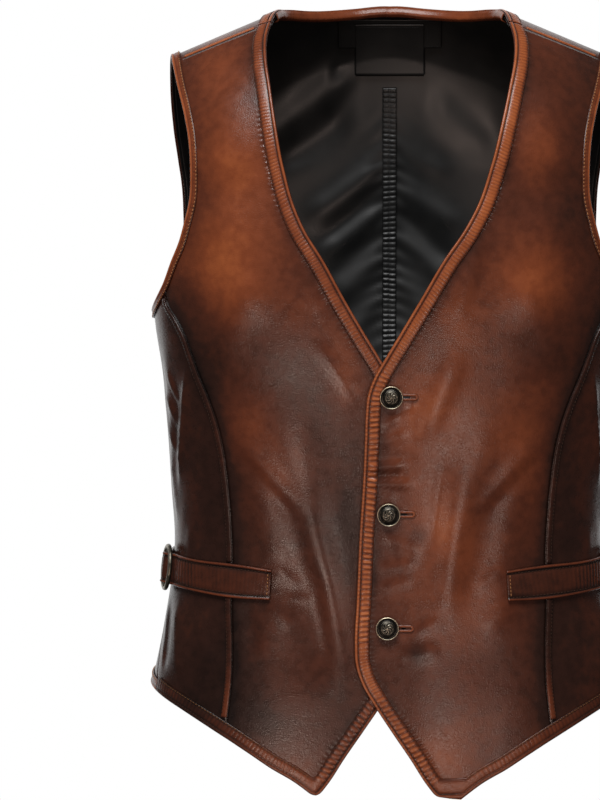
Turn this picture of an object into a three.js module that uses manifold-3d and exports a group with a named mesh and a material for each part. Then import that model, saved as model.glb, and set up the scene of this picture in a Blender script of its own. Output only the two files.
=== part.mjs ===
// A leather vest in the hollow form its wearer gives it.
// Millimetres, +Z up, front towards -Y, the wearer's left at +X.
// The origin lies midway between the two shoulder ridges, where the wearer holds the vest up.
import * as THREE from "three";
import { mergeVertices } from "three/addons/utils/BufferGeometryUtils.js";
import Module from "manifold-3d";

const wasm = await Module();
wasm.setup();

// Rows of numbers with their columns by name.
function table(columns, rows) {
  const names = columns.split(" ");
  return rows.map((row) => Object.fromEntries(names.map((name, i) => [name, row[i]])));
}

// The figure under the cloth
const YOKE = -130; // height where the cloth starts to bend over the shoulders
const ARCH = 190; // cloth from that height up to the shoulder ridge
const ROUND = 2.56; // power of the level sections, 2 for an ellipse
const SLOPE = 0.42; // fall of the shoulder for each millimetre outwards
const NECK_HALF = 89; // half width at which that fall starts
const NECK_SOFT = 8; // rounding of that start
const UNDERARM = -262; // height where that fall has faded out
const NAPE = { rise: 35,width: 85, depth: 80, fade: 60 }; // the back neck stands up
const SECTIONS = table("height half front back", [
  [-700, 216, 120, 106],
  [-640, 213, 119, 106],
  [-590, 206, 117, 104],
  [-540, 196, 113, 98],
  [-470, 186, 109, 93],
  [-400, 187.5, 112, 98],
  [-330, 193, 118, 108],
  [-262, 203, 122, 118],
  [-200, 204, 119, 121],
  [-130, 202, 110, 118],
  [-60, 200, 104, 112],
  [0, 200, 104, 104],
]);

// Layers, measured outwards from the figure
const SEAM = 0.3; // gap between two pieces that meet
const SEAM_END = 1.3; // where two strips meet at a slant
const LEATHER = { low: 0.5, high: 1.8 };
const LINING = { low: -2.2, high: -1.3 };
const TRIM = { low: 2.5, high: 3.7 }; // strips that lie on the leather
const FACING = { low: -4.2, high: -5 }; // what lies on the lining, inwards
const LABEL = { low: -5.6, high: -6.2 };
const LAP_LIFT = 3.7; // the wearer's left front rises over the right one
const LAP_FULL = 22; // across the front, it has its whole lift up to here
const LAP_FADE = 70; // and has lost it this much further on

// The centre line leans to the wearer's right further down.
const LEAN = table("climb x", [
  [-480, -9],
  [-400, -8.5],
  [-321, -7],
  [-250, -5.5],
  [-90, -5],
  [-59, -4],
  [-38, -3],
  [-6, -2],
  [25, -1],
  [60, 0],
  [ARCH, 0],
]);

// A front's free edge: how far it reaches past that line, from the shoulder seam to the tip.
const FRONT_EDGE = table("climb reach mark", [
  [143, -101, "shoulder"],
  [120, -104],
  [90, -103.5],
  [59, -99],
  [25, -93],
  [-6, -86],
  [-38, -76.5],
  [-59, -66.5],
  [-86, -49],
  [-116, -32],
  [-143, -16],
  [-167, -1.5, "vee"],
  [-180, 6],
  [-196, 12],
  [-214, 14],
  [-230, 14.5],
  [-268, 15.5],
  [-321, 17.5],
  [-373, 18.5],
  [-407, 19.5, "waist"],
  [-424, 18.5],
  [-441, 13],
  [-458, 3],
  [-479, -11],
  [-504, -28],
  [-523, -40],
  [-538, -51.5, "tip"],
]);

// The hem, from a front's tip round to the centre of the back.
const HEM = table("turn climb mark", [
  [27.1, -538, "tip"],
  [34.5, -524],
  [41.2, -513.5],
  [47.5, -501.5],
  [53.8, -489.5, "princess"],
  [68.4, -466.7],
  [77.3, -459.3, "side"],
  [86, -456.5],
  [100, -456],
  [140, -456],
  [180, -456, "back"],
]);

// The armhole: from the shoulder seam down the front, under the arm and up the back.
const ARMHOLE = table("turn climb mark", [
  [74.6, 150, "shoulder"],
  [72.1, 106.7],
  [69, 63.8],
  [67.2, 38.6],
  [66.1, 17.6],
  [65.5, 1],
  [65.1, -24],
  [65.7, -43],
  [66.9, -63.5],
  [69.2, -81.5],
  [72.8, -105, "princess"],
  [78, -120],
  [84.5, -128.5, "side"],
  [92, -129],
  [101, -117],
  [107.5, -90],
  [110.9, -52],
  [110.6, -30],
  [109.5, 0],
  [107.8, 25, "yoke"],
  [105.2, 63.7],
  [103.6, 112.6],
  [103.7, 177],
  [105.4, 230, "end"],
]);

// The curved seam between front and side panel, from the armhole to the hem.
const PRINCESS = table("turn climb", [
  [72.8, -105],
  [71.6, -122],
  [68.2, -134.5],
  [65.3, -150.8],
  [63.8, -167.2],
  [62.2, -183.4],
  [60, -203],
  [58.4, -221],
  [57.3, -241],
  [56.6, -271],
  [56.2, -323],
  [55.6, -376],
  [54.2, -410],
  [53.3, -444],
  [53.8, -489.5],
]);

// The seam between side panel and back, from the armhole to the hem.
const SIDE_SEAM = table("turn climb", [
  [84.5, -128.5],
  [83.2, -200],
  [85.2, -270],
  [89.5, -335],
  [86.8, -385],
  [81.5, -430],
  [77.3, -459.3],
]);

// The back neck, from its middle over the ridge to the shoulder seam.
const BACK_NECK = table("x climb", [
  [0, 108],
  [30, 112],
  [59, 129],
  [80, 152],
  [91, 172],
  [94.5, 190],
  [97, 205],
  [101, 237],
]);

// The largest folds, as ridges from one point to another. A keen one is a crease.
const FOLD_DEGREE = 2.6; // millimetres of cloth for a degree of turn
const FOLD_END = 0.3; // share of a fold over which each end dies away
const FOLDS = table("turn climb turnTo climbTo width rise keen", [
  [65, -168, 75.5, -285, 9, 3, 1],
  [75, -150, 80, -310, 8, 1.8, 0],
  [82, -165, 87, -335, 8, 1.6, 0],
  [74, -374, 68, -452, 11, 2.6, 0],
  [40, -185, 22, -400, 20, 2.6, 0],
  [50, -210, 38, -430, 16, 1.8, 0],
  [57, -20, 44, -150, 20, 2.2, 0],
  [60, 90, 54, -20, 16, 1.8, 0],
  [46, -90, 58, -180, 15, 1.6, 0],
  [104, -150, 110, -325, 16, 2.4, 0],
  [122, -140, 130, -330, 18, 2, 0],
  [106, -374, 105, -436, 16, 2.4, 0],
  [128, -360, 126, -436, 17, 2.2, 0],
  [148, -240, 152, -430, 20, 2.2, 0],
  [126, 80, 142, -20, 20, 2, 0],
]);

// Strips round the edges: how far across from the edge, and how thick.
const EDGE_PROFILE = table("across rise", [
  [0.2, 0.9],
  [3.3, 0.5],
  [5, 1],
  [12, 0.8],
]);
const HEM_PROFILE = table("across rise", [
  [0.2, 0.6],
  [1.6, 1],
  [3.3, 0.55],
  [9, 0.8],
]);
const ARM_PROFILE = table("across rise", [
  [0.2, 0.6],
  [1.4, 1],
  [7.5, 0.7],
]);
const LAP_PROFILE = table("across rise", [
  [0.4, 1],
  [5.4, 0.7],
]);
const LAP_START = 12; // below the armhole's strip
const LAP_END = 17; // above the hem's strip
const LAP_SPLIT = { above: -341, below: -371 }; // it makes way for the strap between these climbs
const LAP_COUNT = { upper: 12, lower: 7 };
const PIPING_COUNT = 12;
const PIPING_CLEAR = 2; // stations left free at each end
const PIPING_PROFILE = table("across rise", [
  [-1.3, 0.5],
  [0, 1.5],
  [1.3, 0.5],
]);
const RIB_PITCH = 4.6;
const RIB_RISE = 0.45;
const PLACKET_RIBS = 48;
const CUTAWAY_RIBS = 16;
const NECK_RUN = { past: 4, count: 22 }; // plain from the shoulder to just past the vee
const RIBBED_RUN = { from: 8, past: 4 }; // the left placket, from the vee to the waist's bend
const UNDER_RUN = { from: 22, before: 6, count: 10 }; // the right one, plain under the left
const BEND_RUN = { from: 8, past: 36, count: 3 }; // from placket to cutaway
const HEM_RUN = { from: 4, count: 7 };
const TIP_CLEAR = 15; // no rib this near the tip's corner
const NECK_COUNT = 14;
const ARM_COUNT = 40;

// The waist strap, its buckle and its stitched ends
const STRAP = table("turn climb mark", [
  [44.4, -359],
  [60, -356.5],
  [81, -354, "buckle"],
  [98, -354],
  [116, -354],
]);
const STRAP_LAYER = { low: 2.8, high: 4 };
const STRAP_COUNT = { front: 14, over: 14, back: 10 };
const STRAP_OVER = 22; // half the length with close stations, over the buckle
const STRAP_PROFILE = table("across rise", [
  [-13.5, 2.4],
  [-10.3, 1.5],
  [10.3, 1.5],
  [13.5, 2.4],
]);
const BUCKLE = { ring: 18.4, wire: 1.9, bar: 1.5, float: 8.6, clear: 0.6, foot: 4.2 };

// Buttons and their buttonholes
const BUTTONS = table("x climb", [
  [2, -198],
  [0, -297],
  [-1, -394],
]);
const SHANK = 2.2;
const BUTTON_FOOT = 3.9; // clear of the front underneath
const BUTTON_SEAT = 7.8; // clear of the buttonhole's lips
const BUTTON_PROFILE = table("radius height", [
  [8.4, 0],
  [9.75, 0.7],
  [9.75, 1.9],
  [9, 2.6],
  [8, 2.5],
  [7.5, 1.7],
  [5.5, 3.1],
  [2.8, 3.9],
]);
const BUTTON_TOP = 4.1;
const HOLE = { radius: 2.8, slit: 15, gap: 1.4, depth: 14 };
const LIP = { from: 6.2, to: 19.1, half: 1.9, wide: 1.05, low: 5.9, side: 6.35, high: 6.8 };
const LIP_STEPS = 4; // round each end

// What is sewn to the lining
const NECK_BAND = { from: 1, tall: 8, end: 196, count: 19 };
const PATCH = { half: 47, low: 73, high: 98 };
const TAG = { half: 31.5, low: 47, high: 93 };
const LADDER = { half: 6, thick: 0.7, high: 40, low: -190, pitch: 4.7, rise: 0.5 };

const BURNISHED = { color: 0x6b3b22, roughness: 0.42, metalness: 0 };
const TAN = { color: 0x9a5a33, roughness: 0.5, metalness: 0 };
const SATIN = { color: 0x161514, roughness: 0.35, metalness: 0 };
const BRASS = { color: 0x5c4a33, roughness: 0.4, metalness: 0.9 };

// A smooth curve through a table's rows, as a function of one of its columns.
function curve(rows, from, to) {
  const x = rows.map((row) => row[from]);
  const y = rows.map((row) => row[to]);
  const last = x.length - 1;
  const rise = x.slice(1).map((value, i) => (y[i + 1] - y[i]) / (value - x[i]));
  const slope = x.map((value, i) => {
    if (i === 0 || i === last) return rise[Math.min(i, last - 1)];
    const before = value - x[i - 1];
    const after = x[i + 1] - value;
    return (before * rise[i] + after * rise[i - 1]) / (before + after);
  });
  return (at) => {
    const value = Math.min(Math.max(at, x[0]), x[last]);
    const i = Math.max(0, Math.min(last - 1, x.findIndex((knot) => knot > value) - 1 || 0));
    const j = value >= x[last] ? last - 1 : i;
    const step = x[j + 1] - x[j];
    const t = (value - x[j]) / step;
    const start = (2 * t - 3) * t * t + 1;
    const leave = ((t - 2) * t + 1) * t * step;
    const arrive = (t - 1) * t * t * step;
    return start * y[j] + leave * slope[j] + (1 - start) * y[j + 1] + arrive * slope[j + 1];
  };
}

const halfAt = curve(SECTIONS, "height", "half");
const frontAt = curve(SECTIONS, "height", "front");
const backAt = curve(SECTIONS, "height", "back");
const leanAt = curve(LEAN, "climb", "x");

const lerp = (a, b, t) => a + (b - a) * t;
const clamp = (t) => Math.min(Math.max(t, 0), 1);
const ease = (t) => clamp(t) ** 2 * (3 - 2 * clamp(t));
const radians = THREE.MathUtils.degToRad;
const degrees = THREE.MathUtils.radToDeg;

// Climb is length of cloth above the yoke line, and alpha how far it has bent over the shoulder.
const bendAt = (climb) => (clamp(climb / ARCH) * Math.PI) / 2;
const heightAt = (climb) => (climb < 0 ? YOKE + climb : YOKE - YOKE * Math.sin(bendAt(climb)));

// A point of the figure: turn goes round from the centre front, climb goes up and over the shoulder.
function figure(turn, climb) {
  if (climb > ARCH) return figure(180 - turn, 2 * ARCH - climb);
  const height = heightAt(climb);
  const sin = Math.sin(radians(turn));
  const cos = Math.cos(radians(turn));
  const deep = cos > 0 ? frontAt(height) : backAt(height);
  const reach = (Math.abs(sin) / halfAt(height)) ** ROUND + (Math.abs(cos) / deep) ** ROUND;
  const radius = reach ** (-1 / ROUND);
  const x = radius * sin;
  const y = -radius * cos * Math.cos(bendAt(climb));
  const past = Math.abs(x) - NECK_HALF;
  const fall = (past + Math.hypot(past, NECK_SOFT)) / 2;
  const stand = Math.exp(-((x / NAPE.width) ** 2)) * ease(y / NAPE.depth);
  const nape = NAPE.rise * stand * clamp((height - YOKE) / NAPE.fade);
  const z = height - SLOPE * fall * ease((height - UNDERARM) / -UNDERARM) + nape;
  return new THREE.Vector3(x, y, z);
}

// The turn at which the front, or the back, has a given distance from the middle.
function turnAt(x, climb, behind = false) {
  if (climb > ARCH) return 180 - turnAt(x, 2 * ARCH - climb, !behind);
  const height = heightAt(climb);
  const deep = behind ? backAt(height) : frontAt(height);
  const left = (1 - (Math.abs(x) / halfAt(height)) ** ROUND) ** (1 / ROUND);
  const turn = degrees(Math.atan2(x / deep, left));
  return behind ? 180 - turn : turn;
}

const STEP = 0.05;
function steps(turn, climb) {
  const round = figure(turn + STEP, climb).sub(figure(turn - STEP, climb));
  const up = figure(turn, climb + STEP).sub(figure(turn, climb - STEP));
  return [round.divideScalar(2 * STEP), up.divideScalar(2 * STEP)];
}

function outward(turn, climb) {
  const [round, up] = steps(turn, climb);
  return round.cross(up).normalize();
}

// How far the folds raise the leather's outer face.
function foldRise(turn, climb) {
  const round = Math.abs(((turn % 360) + 540) % 360 - 180);
  return FOLDS.reduce((sum, fold) => {
    const longX = (fold.turnTo - fold.turn) * FOLD_DEGREE;
    const longY = fold.climbTo - fold.climb;
    const x = (round - fold.turn) * FOLD_DEGREE;
    const y = climb - fold.climb;
    const length = Math.hypot(longX, longY);
    const along = (x * longX + y * longY) / length ** 2;
    if (along <= 0 || along >= 1) return sum;
    const aside = Math.abs(x * longY - y * longX) / length / fold.width;
    const ridge = fold.keen ? Math.exp(-aside) : Math.exp(-aside * aside);
    return sum + fold.rise * ridge * ease(along / FOLD_END) * ease((1 - along) / FOLD_END);
  }, 0);
}

const lapLift = (x) => LAP_LIFT * (1 - ease((x - LAP_FULL) / LAP_FADE));

// A point at a height over the figure. What lies on the leather rises with its folds.
function place({ turn, climb }, out, lapped = false) {
  const point = figure(turn, climb);
  const raised = out > LEATHER.low ? foldRise(turn, climb) : 0;
  const lift = lapped ? lapLift(point.x) : 0;
  return point.addScaledVector(outward(turn, climb), out + raised + lift);
}

// A line drawn on the figure, measured by its length there.
function line(points) {
  const spots = points.map(({ turn, climb }) => figure(turn, climb));
  const length = [0];
  spots.slice(1).forEach((spot, i) => length.push(length[i] + spot.distanceTo(spots[i])));
  const rows = points.map(({ turn, climb }, i) => ({ length: length[i], turn, climb }));
  const turn = curve(rows, "length", "turn");
  const climb = curve(rows, "length", "climb");
  return {
    length: length.at(-1),
    at: (s) => ({ turn: turn(s), climb: climb(s) }),
    mark: (name) => length[points.findIndex((point) => point.mark === name)],
  };
}

const mirror = (point) => ({ ...point, turn: -point.turn });
const onSide = (side, point) => (side > 0 ? point : mirror(point));
const sided = (side, path) => ({ ...path, at: (s) => onSide(side, path.at(s)) });
const frontEdge = (side) =>
  line(
    FRONT_EDGE.map(({ climb, reach, mark }) => ({
      turn: turnAt(leanAt(climb) - side * reach, climb),
      climb,
      mark,
    })),
  );
const hem = line(HEM);
const armhole = line(ARMHOLE);
const princess = line(PRINCESS);
const sideSeam = line(SIDE_SEAM);
const backNeck = line(
  BACK_NECK.map(({ x, climb }) => ({ turn: turnAt(x, climb, true), climb })),
);

// The length up to which a line's points have not yet passed something.
function lengthBefore(path, passed) {
  let [from, to] = [0, path.length];
  while (to - from > SEAM) {
    const middle = (from + to) / 2;
    if (passed(path.at(middle))) to = middle;
    else from = middle;
  }
  return from;
}

// Equal steps along a line between two of its lengths.
function stretch(path, from, to, count) {
  return Array.from({ length: count + 1 }, (_, i) => path.at(lerp(from, to, i / count)));
}
const joined = (...runs) => runs.flatMap((run, i) => (i ? run.slice(1) : run));
const whole = (path, count) => stretch(path, path.length, 0, count);

// A path that ends at the centre of the back, carried on down the other side.
function carriedOn(half) {
  return joined(half, half.map(({ turn, climb }) => ({ turn: 360 - turn, climb })).reverse());
}

function straight(from, to, count) {
  const point = (t) => ({
    turn: lerp(from.turn, to.turn, t),
    climb: lerp(from.climb, to.climb, t),
  });
  return Array.from({ length: count + 1 }, (_, i) => point(i / count));
}

// A net between four rows of points, each inner point blended from all four.
function patch({ bottom, top, near, far }) {
  const width = bottom.length - 1;
  const height = near.length - 1;
  const blend = (key, i, j) => {
    const u = i / width;
    const v = j / height;
    const sides = lerp(near[j][key], far[j][key], u) + lerp(bottom[i][key], top[i][key], v);
    const low = lerp(bottom[0][key], bottom[width][key], u);
    return sides - lerp(low, lerp(top[0][key], top[width][key], u), v);
  };
  const points = [];
  const quads = [];
  for (let j = 0; j <= height; j++) {
    for (let i = 0; i <= width; i++) {
      points.push({ turn: blend("turn", i, j), climb: blend("climb", i, j) });
      const at = j * (width + 1) + i;
      if (i < width && j < height) quads.push([at, at + 1, at + width + 2, at + width + 1]);
    }
  }
  return { points, quads };
}

// Nets sewn into one where their points agree.
function weld(nets) {
  const points = [];
  const seen = new Map();
  const quads = nets.flatMap((net) => {
    const where = net.points.map((point) => {
      const key = point.turn.toFixed(3) + " " + point.climb.toFixed(3);
      if (!seen.has(key)) seen.set(key, points.push(point) - 1);
      return seen.get(key);
    });
    return net.quads.map((quad) => quad.map((at) => where[at]));
  });
  return { points, quads };
}

function area({ points, quads }) {
  return quads.reduce((sum, [a, b, , d]) => {
    const long = [points[b].turn - points[a].turn, points[b].climb - points[a].climb];
    const tall = [points[d].turn - points[a].turn, points[d].climb - points[a].climb];
    return sum + long[0] * tall[1] - long[1] * tall[0];
  }, 0);
}

// The net's edges that only one of its quads has.
function rim(net) {
  const edges = new Map();
  for (const quad of net.quads)
    quad.forEach((from, i) => edges.set(from + " " + quad[(i + 1) % 4], [from, quad[(i + 1) % 4]]));
  return [...edges.values()].filter(([from, to]) => !edges.has(to + " " + from));
}

// The net drawn in by half a seam all round, so that it keeps its distance from its neighbour.
const SKEW = 1.3; // more for a rim that is not square to the way inwards
function trimmed(net, by = SEAM / 2) {
  const inward = new Map();
  const edge = new Set(rim(net).flat());
  for (const quad of net.quads)
    for (const at of quad)
      if (edge.has(at)) inward.set(at, [...(inward.get(at) ?? []), ...quad]);
  const points = net.points.map((point, i) => {
    if (!inward.has(i)) return point;
    const near = inward.get(i).map((at) => net.points[at]);
    const middle = {
      turn: near.reduce((sum, p) => sum + p.turn, 0) / near.length,
      climb: near.reduce((sum, p) => sum + p.climb, 0) / near.length,
    };
    const away = figure(point.turn, point.climb).distanceTo(figure(middle.turn, middle.climb));
    const share = Math.min(by / away, 0.5) * SKEW;
    return {
      turn: lerp(point.turn, middle.turn, share),
      climb: lerp(point.climb, middle.climb, share),
    };
  });
  return { points, quads: net.quads };
}

function geometryOf(corners, index) {
  const flat = corners.flatMap((corner) => corner.toArray());
  const geometry = new THREE.BufferGeometry();
  geometry.setAttribute("position", new THREE.Float32BufferAttribute(flat, 3));
  geometry.setIndex(index);
  return facingOut(geometry);
}

// Turns a closed surface's faces round if they point inwards.
function facingOut(geometry) {
  const { array } = geometry.index;
  const { position } = geometry.attributes;
  const corner = (at) => new THREE.Vector3().fromBufferAttribute(position, at);
  let volume = 0;
  for (let i = 0; i < array.length; i += 3)
    volume += corner(array[i]).dot(corner(array[i + 1]).cross(corner(array[i + 2])));
  if (volume < 0)
    for (let i = 0; i < array.length; i += 3)
      [array[i + 1], array[i + 2]] = [array[i + 2], array[i + 1]];
  geometry.computeVertexNormals();
  return geometry;
}

// A wall of cloth over a net: its outer face, its inner face and the rim between them.
function wall(net, { low, high }, lapped = false) {
  const turned = area(net) < 0 ? net.quads.map((quad) => [...quad].reverse()) : net.quads;
  const count = net.points.length;
  const corners = [high, low].flatMap((out) => net.points.map((p) => place(p, out, lapped)));
  const apart = (a, b) => corners[a].distanceTo(corners[b]);
  const index = turned.flatMap((quad) => {
    const [a, b, c, d] = apart(quad[0], quad[2]) < apart(quad[1], quad[3])
      ? quad
      : [...quad.slice(1), quad[0]];
    return [
      [a, b, c, a, c, d],
      [a, c, b, a, d, c].map((at) => at + count),
    ];
  });
  const closing = rim({ quads: turned }).map(([from, to]) => [
    to,
    from,
    from + count,
    to,
    from + count,
    to + count,
  ]);
  return geometryOf(corners, [...index, ...closing].flat());
}

// Rings of corners joined into a tube, closed on itself or with flat ends.
function tube(rings, outline, closed = false) {
  const round = rings[0].length;
  const index = [];
  rings.forEach((_, i) => {
    if (i === rings.length - 1 && !closed) return;
    const here = i * round;
    const next = ((i + 1) % rings.length) * round;
    for (let j = 0; j < round; j++) {
      const k = (j + 1) % round;
      index.push(here + j, here + k, next + k, here + j, next + k, next + j);
    }
  });
  if (!closed) {
    const last = (rings.length - 1) * round;
    for (const [a, b, c] of THREE.ShapeUtils.triangulateShape(outline, [])) {
      const [p, q] = runsWith(outline, [a, b, c]) ? [b, c] : [c, b];
      index.push(a, q, p, a + last, p + last, q + last);
    }
  }
  return geometryOf(rings.flat(), index);
}

// Whether a cap's triangle runs the same way round as its outline.
function runsWith(outline, [a, b, c]) {
  const same = THREE.ShapeUtils.area([outline[a], outline[b], outline[c]]) > 0;
  return same === THREE.ShapeUtils.area(outline) > 0;
}

// For each point of a path, the turn and climb that lead a millimetre across it.
function crossings(points, hand, closed = false) {
  const spots = points.map(({ turn, climb }) => figure(turn, climb));
  const count = spots.length;
  return points.map(({ turn, climb }, i) => {
    const normal = outward(turn, climb);
    const back = closed ? spots.at(i - 1) : spots[Math.max(i - 1, 0)];
    const on = closed ? spots[(i + 1) % count] : spots[Math.min(i + 1, count - 1)];
    const arrive = spots[i].clone().sub(back);
    const leave = on.clone().sub(spots[i]);
    if (!arrive.length()) arrive.copy(leave);
    if (!leave.length()) leave.copy(arrive);
    const before = normal.clone().cross(arrive).normalize();
    const way = normal.clone().cross(leave).normalize().add(before).normalize();
    way.multiplyScalar(hand / way.dot(before));
    const [round, up] = steps(turn, climb);
    const [rr, ru, uu] = [round.dot(round), round.dot(up), up.dot(up)];
    const [wr, wu] = [way.dot(round), way.dot(up)];
    const split = rr * uu - ru * ru;
    return { turn: (wr * uu - wu * ru) / split, climb: (wu * rr - wr * ru) / split };
  });
}

// A strip along a path: its profile's points across it, over a plain underside.
function strip(points, { profile, hand, layer, raise, hump, closed = false, lapped = false }) {
  const ways = crossings(points, hand, closed);
  const outer = profile.map(({ across: a, rise }) => ({ a, rise }));
  const under = [profile.at(-1).across, profile[0].across].map((a) => ({ a, rise: 0 }));
  const sign = Math.sign(layer.high - layer.low);
  const rings = points.map((point, i) => {
    const way = ways[i];
    const extra = raise ? raise(i) : 0;
    const float = hump ? hump(i) : 0;
    return [...outer, ...under].map(({ a, rise }, j) => {
      const spot = { turn: point.turn + way.turn * a, climb: point.climb + way.climb * a };
      const ribbed = j >= profile.length - 2 && j < profile.length ? extra : 0;
      return place(spot, layer.low + sign * (rise + ribbed) + float, lapped);
    });
  });
  const outline = [...outer, ...under].map(({ a, rise }) => new THREE.Vector2(a, rise));
  return tube(rings, outline, closed);
}

// The surface of a closed three.js geometry as a solid for cutting and joining.
function solidOf(geometry) {
  const bare = geometry.clone();
  bare.deleteAttribute("normal");
  bare.deleteAttribute("uv");
  const shared = mergeVertices(bare, 1e-4);
  const vertProperties = new Float32Array(shared.attributes.position.array);
  const triVerts = new Uint32Array(shared.index.array);
  return new wasm.Manifold(new wasm.Mesh({ numProp: 3, vertProperties, triVerts }));
}

function geometryFrom(solid) {
  const { vertProperties, triVerts, numProp } = solid.getMesh();
  const corners = [];
  for (let i = 0; i < vertProperties.length; i += numProp)
    corners.push(new THREE.Vector3(...vertProperties.slice(i, i + 3)));
  return geometryOf(corners, [...triVerts]);
}

const part = new THREE.Group();
function add(name, geometry, finish, holder = part) {
  const mesh = new THREE.Mesh(geometry, new THREE.MeshStandardMaterial(finish));
  mesh.name = name;
  holder.add(mesh);
  return mesh;
}

// Where something round or square stands on the cloth: its middle, and its frame along the turn.
function seat({ turn, climb }, lapped = false) {
  const holder = new THREE.Group();
  const normal = outward(turn, climb);
  const [, up] = steps(turn, climb);
  const right = up.clone().cross(normal).normalize();
  const turned = new THREE.Matrix4().makeBasis(right, normal.clone().cross(right), normal);
  const point = figure(turn, climb);
  point.addScaledVector(normal, lapped ? lapLift(point.x) - LAP_LIFT : 0);
  holder.position.copy(point);
  holder.quaternion.setFromRotationMatrix(turned);
  holder.updateMatrix();
  return holder;
}

// Rows of points shared by the panels on each side of a seam
const COUNT = { front: 9, lower: 12, upper: 9, side: 7, back: 11, arm: 9, yoke: 8 };
const BLADE = -195; // climb at the middle of the back level with the top of the side seam
const SIDES = [
  ["right", -1],
  ["left", 1],
];
const LINING_COUNT = { back: 11, lower: 8, arm: 9, yoke: 6 };
const LINING_SHORT = 1.2; // the lining ends this far inside the leather's edge

function frontNet(side) {
  const edge = frontEdge(side);
  const [vee, tip] = [edge.mark("vee"), edge.mark("tip")];
  const near = joined(stretch(edge, tip, vee, COUNT.lower), stretch(edge, vee, 0, COUNT.upper));
  const arm = stretch(armhole, armhole.mark("princess"), 0, COUNT.upper);
  const far = joined(whole(princess, COUNT.lower), arm).map((p) => onSide(side, p));
  const low = stretch(hem, 0, hem.mark("princess"), COUNT.front).map((p) => onSide(side, p));
  low[0] = near[0];
  return patch({
    bottom: low,
    top: straight(near.at(-1), far.at(-1), COUNT.front),
    near,
    far,
  });
}

function sideNet(side) {
  const bottom = stretch(hem, hem.mark("princess"), hem.mark("side"), COUNT.side);
  const top = stretch(armhole, armhole.mark("princess"), armhole.mark("side"), COUNT.side);
  const near = whole(princess, COUNT.lower);
  const far = whole(sideSeam, COUNT.lower);
  const net = patch({ bottom, top, near, far });
  return { ...net, points: net.points.map((point) => onSide(side, point)) };
}

// Half the back: the body below a line from armhole to neck, and the shoulder above it.
function backNet({ back, lower, arm: low, yoke }) {
  const arm = armhole.mark("yoke");
  const middle = backNeck.at(0);
  const waist = { turn: middle.turn, climb: BLADE };
  const cut = straight(armhole.at(arm), middle, back);
  const under = stretch(armhole, armhole.mark("side"), arm, low);
  const body = patch({
    bottom: stretch(hem, hem.mark("side"), hem.length, back),
    top: cut,
    near: joined(whole(sideSeam, lower), under),
    far: joined(straight(hem.at(hem.length), waist, lower), straight(waist, middle, low)),
  });
  const inner = stretch(backNeck, 0, backNeck.length, yoke);
  const outer = stretch(armhole, arm, armhole.length, yoke);
  const shoulder = patch({
    bottom: cut,
    top: straight(outer.at(-1), inner.at(-1), back),
    near: outer,
    far: inner,
  });
  const flipped = [body, shoulder].map((net) => ({
    points: net.points.map(({ turn, climb }) => ({ turn: 360 - turn, climb })),
    quads: net.quads.map((quad) => [...quad].reverse()),
  }));
  return weld([body, shoulder, ...flipped]);
}

// The button's keyhole through the wearer's left front
function keyhole(spot) {
  const holder = seat(spot, true);
  const eye = new THREE.CylinderGeometry(HOLE.radius, HOLE.radius, HOLE.depth, 14);
  eye.rotateX(Math.PI / 2);
  const slit = new THREE.BoxGeometry(HOLE.slit, HOLE.gap, HOLE.depth);
  slit.translate(HOLE.slit / 2, 0, 0);
  return [eye, slit].map((cutter) => {
    cutter.translate(0, 0, HOLE.depth / 2);
    return solidOf(cutter.applyMatrix4(holder.matrix));
  });
}

const buttonSpots = BUTTONS.map(({ x, climb }) => ({ turn: turnAt(x, climb), climb }));

function makeFronts() {
  const right = wall(trimmed(frontNet(-1)), LEATHER);
  add("front_right", right, BURNISHED);
  let left = solidOf(wall(trimmed(frontNet(1)), LEATHER, true));
  for (const cutter of buttonSpots.flatMap(keyhole)) left = left.subtract(cutter);
  add("front_left", geometryFrom(left), BURNISHED);
}

function makeSides() {
  for (const [name, side] of SIDES)
    add("side_" + name, wall(trimmed(sideNet(side)), LEATHER), BURNISHED);
}

function makeBack() {
  add("back", wall(trimmed(backNet(COUNT)), LEATHER), BURNISHED);
  add("lining_back", wall(trimmed(backNet(LINING_COUNT), LINING_SHORT), LINING), SATIN);
}

// Stations along a path, two to a rib where it is ribbed.
function ribbed(path, from, to, ribs) {
  return stretch(path, from, to, 2 * ribs).slice(1, -1);
}

function edgeStrip(side) {
  const edge = frontEdge(side);
  const low = sided(side, hem);
  const [vee, waist, tip] = ["vee", "waist", "tip"].map((name) => edge.mark(name));
  const ribs = CUTAWAY_RIBS * RIB_PITCH;
  const runs = [];
  const plain = (path, from, to, count) =>
    stretch(path, from, to, count).forEach((point) => runs.push({ point, rise: 0 }));
  const wavy = (path, from, to, count) =>
    ribbed(path, from, to, count).forEach((point, i) =>
      runs.push({ point, rise: i % 2 ? 0 : RIB_RISE }),
    );
  plain(edge, SEAM_END, vee + NECK_RUN.past, NECK_RUN.count);
  if (side > 0) wavy(edge, vee + RIBBED_RUN.from, waist + RIBBED_RUN.past, PLACKET_RIBS);
  else plain(edge, vee + UNDER_RUN.from, waist - UNDER_RUN.before, UNDER_RUN.count);
  plain(edge, waist + BEND_RUN.from, waist + BEND_RUN.past, BEND_RUN.count);
  wavy(edge, tip - TIP_CLEAR - ribs, tip - TIP_CLEAR, CUTAWAY_RIBS);
  runs.push({ point: edge.at(tip), rise: 0 });
  wavy(low, TIP_CLEAR, TIP_CLEAR + ribs, CUTAWAY_RIBS);
  const rest = TIP_CLEAR + ribs + HEM_RUN.from;
  plain(low, rest, hem.mark("side") - SEAM / 2, HEM_RUN.count);
  return strip(
    runs.map(({ point }) => point),
    {
      profile: EDGE_PROFILE,
      hand: side,
      layer: TRIM,
      raise: (i) => runs[i].rise,
      lapped: side > 0,
    },
  );
}

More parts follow.
